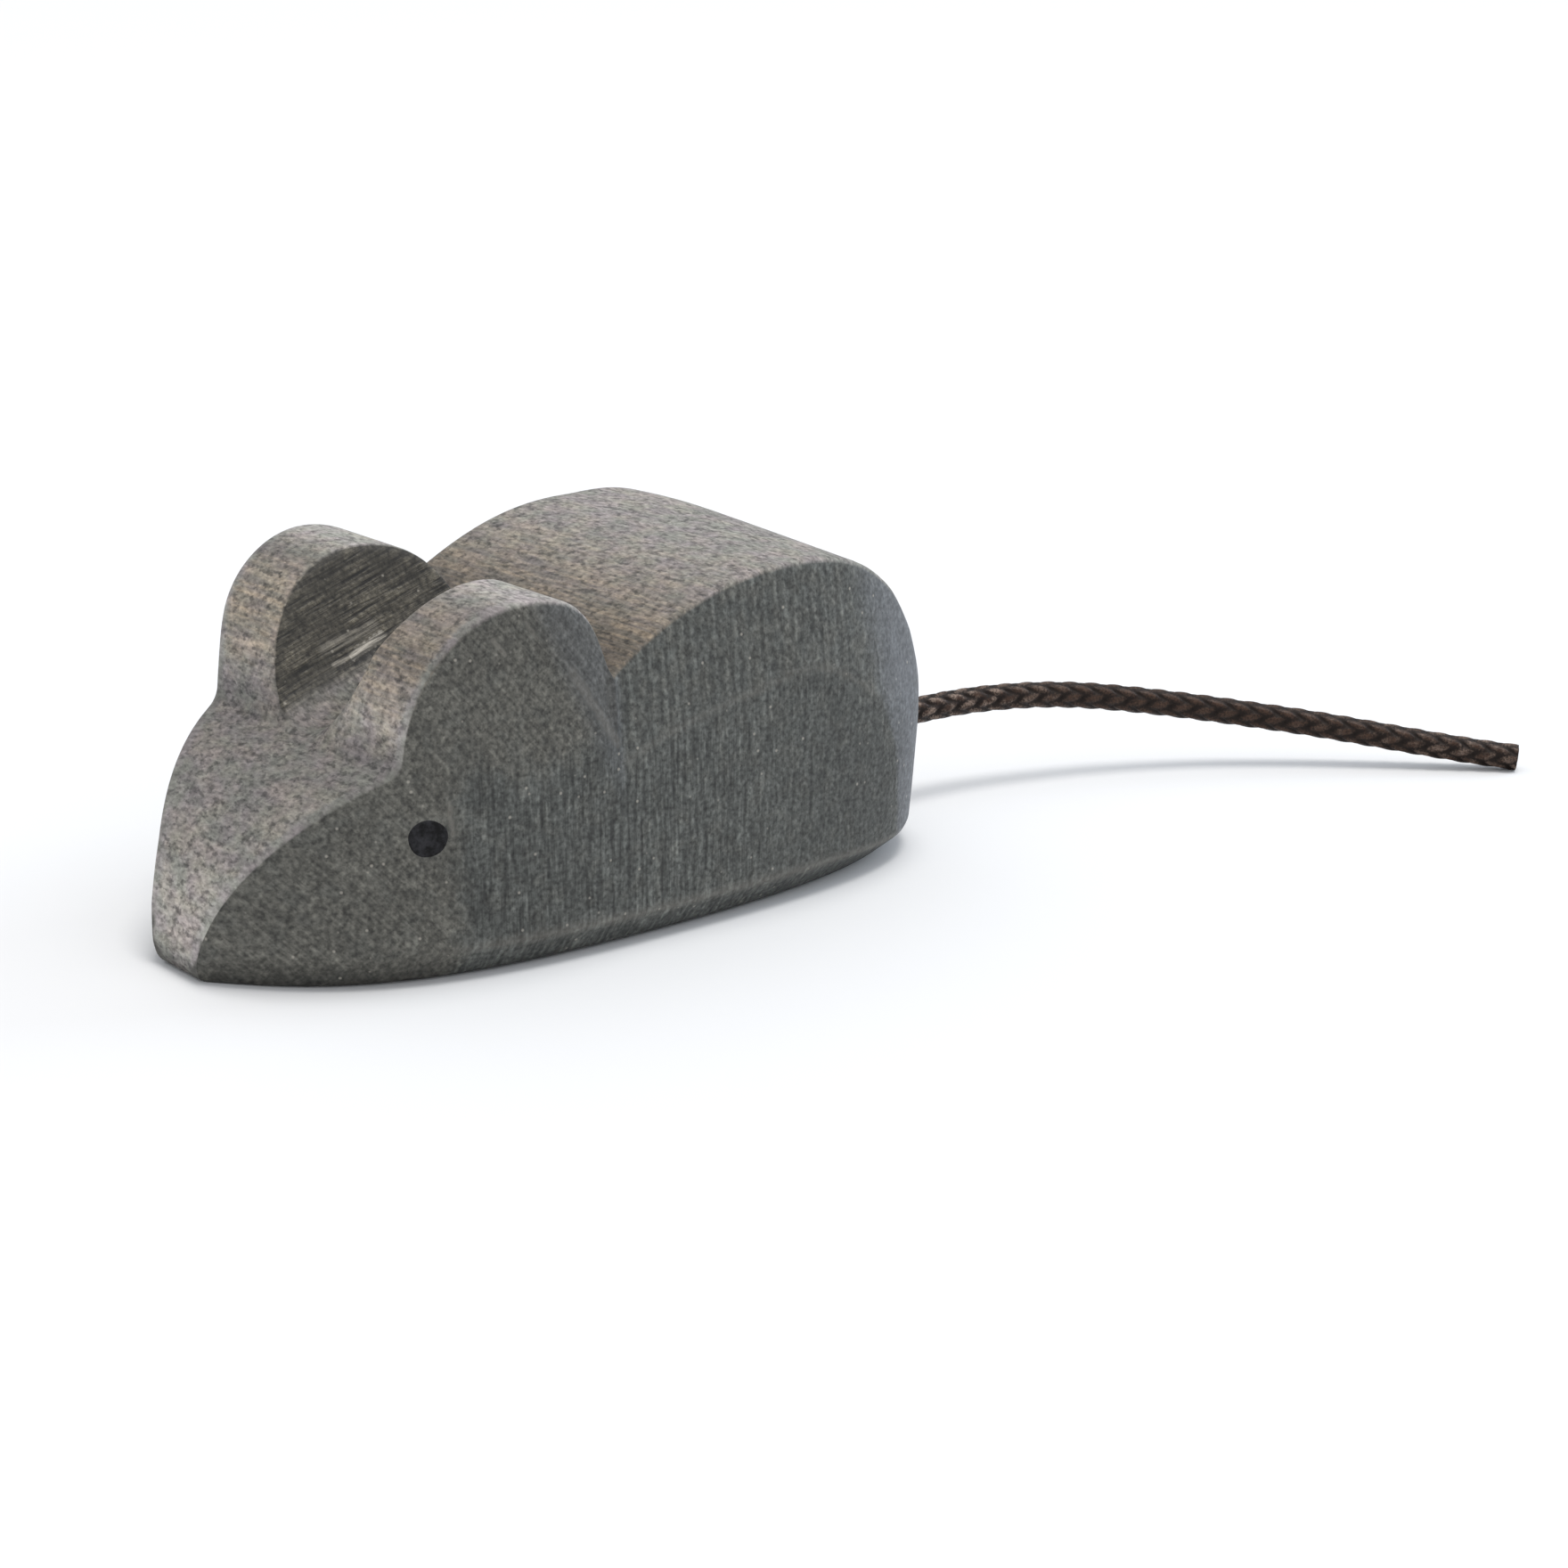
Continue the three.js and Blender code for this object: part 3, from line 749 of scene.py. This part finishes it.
# %% Tail hole
bore_depth, bore_radius, bore_overrun, bore_sides = 10.0, 0.95, 2.0, 32
bore_y = np.array([body_high[1] - bore_depth, body_high[1] + bore_overrun])
bore_angle = np.linspace(0, 2 * np.pi, bore_sides, endpoint=False)
bore_ring = np.stack([np.cos(bore_angle), 0 * bore_angle, np.sin(bore_angle)], axis=1) * bore_radius
bore_centres = np.array([(0, y, cord_path[0, 2]) for y in bore_y])
cutter = skin("drill", bore_centres[:, None] + bore_ring[None])
drilling = block.modifiers.new("tail hole", "BOOLEAN")
drilling.object = cutter
drilling.solver = "EXACT"
drilled = bpy.data.meshes.new_from_object(block.evaluated_get(bpy.context.evaluated_depsgraph_get()))
block.modifiers.clear()
block.data = drilled
bpy.data.objects.remove(cutter)
print(f"drilled block: {len(drilled.polygons)} faces")

# %% [markdown]
# ## The eyes
#
# Each eye is one touch of thick matt paint, a flat dot that follows the cheek. A disc would stand off the
# curved cheek, so the dot is a polar grid laid on the half-width function, lifted by the paint's thickness.

# %% Eyes
paint_proud, paint_sunk = 0.05, 0.15
eye_rings, under_rings, eye_sides = 14, 4, 48
middle_share, under_share = 0.05, 0.98
middle_depth, rim_gain, rim_power, edge_power = 0.8, 0.4, 3, 8
eye_wobbles = ((3, 0.015, 1), (5, 0.01, 0))


def paint_dot(name, node, side):
    """Polar grid on the cheek: the paint is thickest just inside its rim, and turns under at the edge. The
    outline is a circle with wobbles, each a sine with its count of waves, its size and its start."""
    low, high = (np.array(corner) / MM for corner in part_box(node))
    middle, radius = (low + high) / 2, (high[1] - low[1]) / 2
    upper_shares = np.linspace(middle_share, 1, eye_rings)
    under_shares = np.linspace(under_share, middle_share, under_rings)
    share = np.concatenate([upper_shares, under_shares])[:, None]
    upper = np.arange(len(share))[:, None] < eye_rings
    depth = paint_proud * (1 - share ** edge_power) * (middle_depth + rim_gain * share ** rim_power)
    lift = np.where(upper, depth, -paint_sunk)
    angle = np.linspace(0, 2 * np.pi, eye_sides, endpoint=False)[None, :]
    wobble = 1 + sum(size * np.sin(waves * angle + start) for waves, size, start in eye_wobbles)
    y = middle[1] + radius * share * wobble * np.cos(angle)
    z = middle[2] + radius * share * wobble * np.sin(angle)
    x = side * (half_width_at(y - nose_y, z, side) + lift)
    eye = skin(name, np.stack([x, y, z], axis=-1))
    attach(eye, "root")
    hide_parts(node)
    return eye


eyes = [paint_dot("eye_left", "left_eye", 1), paint_dot("eye_right", "right_eye", -1)]

# %% [markdown]
# ## Helpers for materials
#
# Colours are written as sRGB hex, as a paint card gives them, and turned to the linear values that the
# shader works in. One function adds a node with its settings and links. A mix node has a set of sockets for
# numbers and one for colours, with the same names, so they are picked by their places.

# %% Colour and nodes
SHARE, FROM, TO, FROM_COLOUR, TO_COLOUR = 0, 2, 3, 6, 7
COLOUR_MIX = {"data_type": "RGBA", "out": 2}


def linear(hex_colour):
    """sRGB hex to linear red, green, blue and alpha, by the curve that defines sRGB."""
    srgb = np.array([int(hex_colour[k:k + 2], 16) for k in (1, 3, 5)]) / 255
    rgb = np.where(srgb <= 0.04045, srgb / 12.92, ((srgb + 0.055) / 1.055) ** 2.4)
    return (*rgb.tolist(), 1.0)


def add(tree, kind, *values, out=0, sockets=None, **settings):
    """Adds a shader node and gives back its output. values go to the first sockets in order, sockets gives
    others by name or number, as a value or as another node's output, and settings are its properties."""
    node = tree.nodes.new("ShaderNode" + kind)
    for name, value in settings.items():
        setattr(node, name, value)
    for socket, value in {**dict(enumerate(values)), **(sockets or {})}.items():
        if isinstance(value, bpy.types.NodeSocket):
            tree.links.new(value, node.inputs[socket])
        else:
            node.inputs[socket].default_value = value
    return node.outputs[out]


def new_material(name, **constants):
    """A material with its node tree and its main shader, whose constant sockets are set by name."""
    material = bpy.data.materials.new(name)
    material.use_nodes = True
    shader = material.node_tree.nodes["Principled BSDF"]
    for socket, value in constants.items():
        shader.inputs[socket.replace("_", " ")].default_value = value
    return material, material.node_tree, shader


def wire(tree, shader, **outputs):
    """Links outputs of nodes to the main shader's sockets, given by name."""
    for socket, output in outputs.items():
        tree.links.new(output, shader.inputs[socket.replace("_", " ")])


def in_millimetres(tree):
    """Object coordinates in millimetres."""
    coords = add(tree, "TexCoord", out="Object")
    return add(tree, "VectorMath", coords, operation="SCALE", sockets={"Scale": 1 / MM})


def streaks(tree, place, size, detail=1.0, turn=0.0, shift=(0, 0, 0)):
    """A noise pattern whose features have the given size in millimetres along x, y and z, after a turn about
    the x axis."""
    turned = add(tree, "VectorRotate", place, rotation_type="X_AXIS", sockets={"Angle": turn})
    stretch = [1 / length for length in size]
    stretched = add(tree, "VectorMath", turned, stretch, shift, operation="MULTIPLY_ADD")
    return add(tree, "TexNoise", stretched, sockets={"Scale": 1.0, "Detail": detail, "Roughness": 0.6})


# %% [markdown]
# ## Stained hardwood
#
# A pale fine-grained hardwood with a grey water stain and no varnish. The long grain of the sawn top shows
# short fibre flecks along x and warm bands. The end grain of the flanks is dark, with pores as fine dots,
# upright saw lines behind the cheek, even ripples on the flat above the hump and slanting sanding scratches
# on the cheek. The groove has cutter scratches along it, and one splinter has torn out and left bare wood.
# Noise stretched to the real size of fibres, pores and tooth marks gives nearly all of these, and a wave the
# ripples, in Object coordinates. Each shade is a factor on the colour, from its darkest to its lightest.

# %% Wood patterns
wood, tree, shader = new_material("grey_stained_hardwood", IOR=1.45)
wood_place = in_millimetres(tree)
mark_names = (
    "end_grain", "groove_wall", "painted_sheen", "rubbed", "rim", "painted_shade_and_stain", "saw_lined", "rippled",
    "cool_stain", "lightness_with_shade", "warmth",
)
marks = {name: add(tree, "Attribute", out="Fac", attribute_name=name) for name in mark_names}
endless, ripple_spacing, dust_spacing = 300, 0.7, 1.1
fibre = streaks(tree, wood_place, (0.5, 0.25, 0.25), detail=3)
flecks = streaks(tree, wood_place, (0.6, 0.38, 0.38), detail=2, shift=(3, 7, 5))
mottle = streaks(tree, wood_place, (endless, 0.34, 0.55), detail=1, shift=(5, 1, 2))
patches = streaks(tree, wood_place, (3.0, 1.6, 1.6), detail=2, shift=(2, 0, 4))
tints = streaks(tree, wood_place, (1.6, 1.2, 1.2), detail=1, shift=(8, 3, 1))
bands = streaks(tree, wood_place, (5.0, 0.32, 0.32), detail=2, shift=(6, 2, 9))
saw_lines = streaks(tree, wood_place, (endless, 0.27, 3.0), detail=2)
# A wave of scale s repeats every pi / (10 s)
ripples = add(tree, "TexWave", wood_place, bands_direction="Y", out="Fac", sockets={
    "Scale": math.pi / (10 * ripple_spacing), "Distortion": 1.6, "Detail": 1.0, "Detail Scale": 0.35,
})
scratches = streaks(tree, wood_place, (endless, 0.18, 3.0), detail=1, turn=math.radians(-40))
cutter_lines = streaks(tree, wood_place, (0.4, 3.2, 0.17), detail=3, turn=-groove_climb)
dots = add(tree, "TexVoronoi", wood_place, sockets={"Scale": 1 / dust_spacing}, out="Distance")

# %% Shade of the long grain
most_of_noise, middle_of_noise = (0.3, 0.7), (0.35, 0.65)
band_range = (0.4, 0.62)
fibre_shade = add(tree, "MapRange", fibre, *most_of_noise, 0.5, 1.55)
fleck_shade = add(tree, "MapRange", flecks, 0.53, 0.65, 1.0, 0.47)
band_shade = add(tree, "MapRange", bands, *band_range, 0.68, 1.48)
band_shade = add(tree, "Mix", sockets={SHARE: marks["warmth"], FROM: 1.0, TO: band_shade})
rim_shade = add(tree, "MapRange", marks["rim"], 0, 1, 1.0, 1.14)
long_shade = fibre_shade
for factor in (fleck_shade, band_shade, rim_shade):
    long_shade = add(tree, "Math", long_shade, factor, operation="MULTIPLY")

# %% Shade of the end grain
pore_shade = add(tree, "MapRange", fibre, *most_of_noise, 0.42, 1.62)
mottle_shade = add(tree, "MapRange", mottle, *most_of_noise, 0.7, 1.3)
pore_shade = add(tree, "Math", pore_shade, mottle_shade, operation="MULTIPLY")
saw_shade = add(tree, "MapRange", saw_lines, *most_of_noise, 0.42, 1.58)
scratch_shade = add(tree, "MapRange", scratches, *most_of_noise, 0.76, 1.24)
flank_lines = add(tree, "Mix", sockets={SHARE: marks["saw_lined"], FROM: scratch_shade, TO: saw_shade})
ripple_shade = add(tree, "MapRange", ripples, 0.0, 1.0, 0.82, 1.2)
ripple_shade = add(tree, "Mix", sockets={SHARE: marks["rippled"], FROM: 1.0, TO: ripple_shade})
flank_lines = add(tree, "Math", flank_lines, ripple_shade, operation="MULTIPLY")
cutter_depth = add(tree, "MapRange", patches, 0.42, 0.58, 0.4, 1.0)
cutter_shade = add(tree, "MapRange", cutter_lines, 0.38, 0.72, 0.25, 4.6)
cutter_shade = add(tree, "Mix", sockets={SHARE: cutter_depth, FROM: 1.0, TO: cutter_shade})
end_lines = add(tree, "Mix", sockets={SHARE: marks["groove_wall"], FROM: flank_lines, TO: cutter_shade})
end_shade = add(tree, "Math", pore_shade, end_lines, operation="MULTIPLY")

# %% Shade of the whole block
smooth_share, smooth_shade = 0.55, 0.9
shade = add(tree, "Mix", sockets={SHARE: marks["end_grain"], FROM: long_shade, TO: end_shade})
smoothed = add(tree, "Math", marks["rim"], marks["painted_sheen"], operation="MAXIMUM")
smoothed = add(tree, "Math", smoothed, smooth_share, operation="MULTIPLY")
shade = add(tree, "Mix", sockets={SHARE: smoothed, FROM: shade, TO: smooth_shade})
# Painted shade and darker stain scale the colour from 1 down to 0.46
shade_and_stain_factor = add(tree, "MapRange", marks["painted_shade_and_stain"], 0, 1, 1.0, 0.46)
shade = add(tree, "Math", shade, shade_and_stain_factor, operation="MULTIPLY")

# %% Colour of the long grain
warm_spread = add(tree, "MapRange", patches, *middle_of_noise, -0.16, 0.16)
band_warmth = add(tree, "MapRange", bands, *band_range, 0.75, 1.4)
warm_share = add(tree, "Math", marks["warmth"], band_warmth, warm_spread, operation="MULTIPLY_ADD")
warm_share = add(tree, "Math", warm_share, marks["rim"], operation="SUBTRACT", use_clamp=True)
pink_share = add(tree, "MapRange", tints, *middle_of_noise, 0.0, 1.0)
grey_stain = add(tree, "Mix", **COLOUR_MIX, sockets={
    SHARE: pink_share, FROM_COLOUR: linear("#8b8b83"), TO_COLOUR: linear("#918a89"),
})
long_grain = add(tree, "Mix", **COLOUR_MIX, sockets={
    SHARE: warm_share, FROM_COLOUR: grey_stain, TO_COLOUR: linear("#978874"),
})
patch_light = add(tree, "MapRange", patches, *most_of_noise, 0.85, 1.15)
top_light = add(tree, "Math", marks["lightness_with_shade"], patch_light, operation="MULTIPLY")
long_grain = add(tree, "VectorMath", long_grain, operation="SCALE", sockets={"Scale": top_light})

# %% Colour of the end grain and of the whole stain
cool_spread = add(tree, "MapRange", tints, *middle_of_noise, -0.25, 0.25)
cool_share = add(tree, "Math", marks["cool_stain"], cool_spread, operation="ADD", use_clamp=True)
end_grain = add(tree, "Mix", **COLOUR_MIX, sockets={
    SHARE: cool_share, FROM_COLOUR: linear("#51504a"), TO_COLOUR: linear("#484a47"),
})
end_light = add(tree, "MapRange", patches, *most_of_noise, 0.86, 1.14)
end_grain = add(tree, "VectorMath", end_grain, operation="SCALE", sockets={"Scale": end_light})
# The groove's walls take a dark brown, and the painted sheen a light cool grey
for mark, colour in (("groove_wall", "#34312a"), ("painted_sheen", "#616468")):
    end_grain = add(tree, "Mix", **COLOUR_MIX, sockets={
        SHARE: marks[mark], FROM_COLOUR: end_grain, TO_COLOUR: linear(colour),
    })
stain = add(tree, "Mix", **COLOUR_MIX, sockets={
    SHARE: marks["end_grain"], FROM_COLOUR: long_grain, TO_COLOUR: end_grain,
})
stain = add(tree, "VectorMath", stain, operation="SCALE", sockets={"Scale": shade})


# %% Lines of bare wood
def line_mark(tree, place, start, end, width, ragged, core=0.4):
    """How near a point is to a scratch: 0 at its half-width and beyond, rising to 1 at the core's share of
    it. The ragged pattern, in millimetres, is added to the distance and frays the edge."""
    line = end - start
    along = (line / (line @ line)).tolist()
    from_start = add(tree, "VectorMath", place, start.tolist(), operation="SUBTRACT")
    run = add(tree, "Clamp", add(tree, "VectorMath", from_start, along, operation="DOT_PRODUCT", out="Value"))
    on_line = add(tree, "VectorMath", line.tolist(), operation="SCALE", sockets={"Scale": run})
    off_line = add(tree, "VectorMath", from_start, on_line, operation="DISTANCE", out="Value")
    off_line = add(tree, "Math", off_line, ragged, operation="ADD")
    return add(tree, "MapRange", off_line, width, core * width, 0.0, 1.0)


def on_left_flank(setback, height):
    """The point of the left flank at a setback and a height."""
    return half_width_at(setback, height, 1), setback, height


bare_lines = (
    # both ends as x, setback and height, then half-width and strength
    ((-2.74, 11.9, 14.31), (-2.66, 13.6, 14.80), 0.18, 0.40),
    ((-2.68, 13.1, 14.65), (-2.78, 15.0, 15.45), 0.32, 1.00),
    ((-3.30, 11.8, 15.20), (-3.25, 14.6, 16.00), 0.55, 0.22),
    (on_left_flank(10.60, 9.9), on_left_flank(10.75, 8.1), 0.16, 0.14),
    (on_left_flank(17.80, 15.9), on_left_flank(20.50, 11.6), 0.34, 0.09),
    (on_left_flank(13.30, 18.2), on_left_flank(13.90, 17.4), 0.14, 0.14),
    (on_left_flank(15.20, 18.9), on_left_flank(15.70, 18.0), 0.14, 0.12),
)
# A dark line painted along the splinter's lower side is its shadow: both ends, half-width and strength
splinter_shadow = ((-2.46, 12.2, 14.12), (-2.38, 14.6, 14.88), 0.26, 0.6)

# %% Bare wood: the splinter and its painted shadow, scratches, dust in the pores and rubbed lines
rub_share = 0.14
from_nose = np.array((0, nose_y, 0))
ragged = add(tree, "MapRange", fibre, *most_of_noise, -0.12, 0.12)
torn = add(tree, "MapRange", cutter_lines, 0.42, 0.58, 0.1, 1.0)
torn = add(tree, "Mix", sockets={SHARE: marks["groove_wall"], FROM: 1.0, TO: torn})
bare_share = 0.0
for start, end, width, strength in bare_lines:
    line = line_mark(tree, wood_place, start + from_nose, end + from_nose, width, ragged)
    line = add(tree, "Math", line, strength, operation="MULTIPLY")
    bare_share = add(tree, "Math", bare_share, line, operation="MAXIMUM")
bare_share = add(tree, "Math", bare_share, torn, operation="MULTIPLY")
start, end, width, strength = splinter_shadow
shadow_line = line_mark(tree, wood_place, start + from_nose, end + from_nose, width, ragged)
shadow_line = add(tree, "MapRange", shadow_line, 0, 1, 1.0, 1 - strength)
stain = add(tree, "VectorMath", stain, operation="SCALE", sockets={"Scale": shadow_line})
dust = add(tree, "MapRange", dots, 0.1, 0.05, 0.0, 0.45)
dust = add(tree, "Math", dust, marks["end_grain"], operation="MULTIPLY")
bare_share = add(tree, "Math", bare_share, dust, operation="MAXIMUM")
rub = add(tree, "Math", marks["rubbed"], rub_share, operation="MULTIPLY")
bare_share = add(tree, "Math", bare_share, rub, operation="MAXIMUM")
wood_colour = add(tree, "Mix", **COLOUR_MIX, sockets={
    SHARE: bare_share, FROM_COLOUR: stain, TO_COLOUR: linear("#b7b1a6"),
})

# %% Wood surface
roughness = add(tree, "MapRange", fibre, *most_of_noise, 0.68, 0.52)
relief = add(tree, "Bump", sockets={"Height": shade, "Strength": 0.5, "Distance": 0.02 * MM})
wire(tree, shader, Base_Color=wood_colour, Roughness=roughness, Normal=relief)
block.data.materials.clear()
block.data.materials.append(wood)

# %% [markdown]
# ## Paint, cord and glue
#
# The eyes are matt black acrylic paint, thin enough that the grain prints through. The cord is polyester
# braid, soaked in dark brown wax: the crowns of the strands are polished and painted lighter as highlights,
# with pale painted glints, and the gaps between them, where the wax lies, are painted dark as shade. The glue
# in the hole is dried white wood glue, amber and slightly glossy.

# %% Matt black paint
paint, tree, shader = new_material("matt_black_acrylic_paint", Roughness=0.7, Specular_IOR_Level=0.22)
paint_place = in_millimetres(tree)
brushed = streaks(tree, paint_place, (0.3, 0.2, 0.2), detail=3)
blots = streaks(tree, paint_place, (0.9, 0.7, 0.7), detail=1, shift=(1, 2, 3))
paint_depth = add(tree, "Math", brushed, blots, operation="ADD")
thin_share = add(tree, "MapRange", paint_depth, 0.8, 1.25, 0.0, 1.0)
paint_shade = add(tree, "Mix", **COLOUR_MIX, sockets={
    SHARE: thin_share, FROM_COLOUR: linear("#040405"), TO_COLOUR: linear("#2a2a2d"),
})
relief = add(tree, "Bump", sockets={"Height": brushed, "Strength": 0.6, "Distance": 0.04 * MM})
wire(tree, shader, Base_Color=paint_shade, Normal=relief)
for eye in eyes:
    eye.data.materials.append(paint)

# %% Waxed braided cord
waxed, tree, shader = new_material("waxed_polyester_braid", Specular_IOR_Level=0.2)
cord_place = in_millimetres(tree)
crown = add(tree, "Attribute", out="Fac", attribute_name="crown")
yarn = streaks(tree, cord_place, (0.12, 0.12, 0.12), detail=2)
yarn_shade = add(tree, "MapRange", yarn, *most_of_noise, 0.6, 1.2)
polish_and_highlight = add(tree, "Math", crown, yarn_shade, operation="MULTIPLY")
polish_and_highlight = add(tree, "MapRange", polish_and_highlight, 0.5, 1.0, 0.0, 1.0)
# Pale glints are painted on some crowns, standing in for highlights
glint_spots = streaks(tree, cord_place, (0.6, 0.6, 0.6), detail=2, shift=(4, 1, 6))
glint_spots = add(tree, "MapRange", glint_spots, 0.42, 0.6, 0.0, 1.0)
painted_glints = add(tree, "Attribute", out="Fac", attribute_name="painted_glints")
painted_glints = add(tree, "Math", painted_glints, glint_spots, operation="MULTIPLY")
strand_colour = add(tree, "Mix", **COLOUR_MIX, sockets={
    SHARE: painted_glints, FROM_COLOUR: linear("#443126"), TO_COLOUR: linear("#8d7b6f"),
})
# Crowns are painted lighter as highlights, and the gaps between strands dark as shade. The polish also lowers
# the crowns' roughness
cord_colour = add(tree, "Mix", **COLOUR_MIX, sockets={
    SHARE: polish_and_highlight, FROM_COLOUR: linear("#1a110c"), TO_COLOUR: strand_colour,
})
roughness = add(tree, "MapRange", polish_and_highlight, 0, 1, 0.6, 0.36)
relief = add(tree, "Bump", sockets={"Height": yarn, "Strength": 0.4, "Distance": 0.04 * MM})
wire(tree, shader, Base_Color=cord_colour, Roughness=roughness, Normal=relief)
for piece in (tail, tail_root):
    piece.data.materials.append(waxed)

# %% Dried wood glue
glue, tree, shader = new_material("dried_wood_glue", Roughness=0.3, IOR=1.47)
bubbles = streaks(tree, in_millimetres(tree), (0.5, 0.5, 0.5), detail=2)
glue_colour = add(tree, "Mix", **COLOUR_MIX, sockets={
    SHARE: bubbles, FROM_COLOUR: linear("#c9b98a"), TO_COLOUR: linear("#e0d7b6"),
})
wire(tree, shader, Base_Color=glue_colour)
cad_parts["tail_glue"].material_slots[0].material = glue

# %% [markdown]
# ## Floor and light
#
# The mouse stands on a white table in even studio light. A wide soft lamp hangs nearly straight above it,
# so the tail's shadow falls right below the tail. White surroundings fill the rest, and a cool window
# light from behind brightens the turn of the rump.

# %% Floor
floor_half = 4.0
floor_mesh = bpy.data.meshes.new("floor")
floor_corners = [(x * floor_half, y * floor_half, 0) for x, y in ((-1, -1), (1, -1), (1, 1), (-1, 1))]
floor_mesh.from_pydata(floor_corners, [], [(0, 1, 2, 3)])
floor = bpy.data.objects.new("floor", floor_mesh)
bpy.context.collection.objects.link(floor)
white_table, _, _ = new_material("white_laminate_table", Base_Color=linear("#dcddde"), Roughness=0.9)
floor_mesh.materials.append(white_table)


# %% Lights
def hang_light(kind, name, energy, colour, place, aim, **settings):
    """Adds a light at a place that shines towards a point."""
    lamp = bpy.data.lights.new(name, kind)
    lamp.energy, lamp.color = energy, colour
    for setting, value in settings.items():
        setattr(lamp, setting, value)
    holder = bpy.data.objects.new(name, lamp)
    holder.location = place
    away = (holder.location - Vector(aim)).normalized()
    holder.rotation_euler = away.to_track_quat("Z", "Y").to_euler()
    bpy.context.collection.objects.link(holder)


hang_light(
    "SUN", "overhead", energy=1.75, colour=(1.0, 0.975, 0.945), place=(0.08, 0.12, 1.0), aim=(0, 0, 0),
    angle=math.radians(28),
)
hang_light(
    "AREA", "window", energy=0.9, colour=(0.77, 0.88, 1.0), place=(0.1, 0.5, 0.2), aim=(0, 0, 0.01),
    size=0.25,
)

world = bpy.data.worlds.new("studio")
world.use_nodes = True
surroundings = world.node_tree.nodes["Background"]
surroundings.inputs["Color"].default_value = (0.96, 0.975, 1.01, 1)
surroundings.inputs["Strength"].default_value = 0.85
bpy.context.scene.world = world
bpy.context.scene.view_settings.view_transform = "Standard"
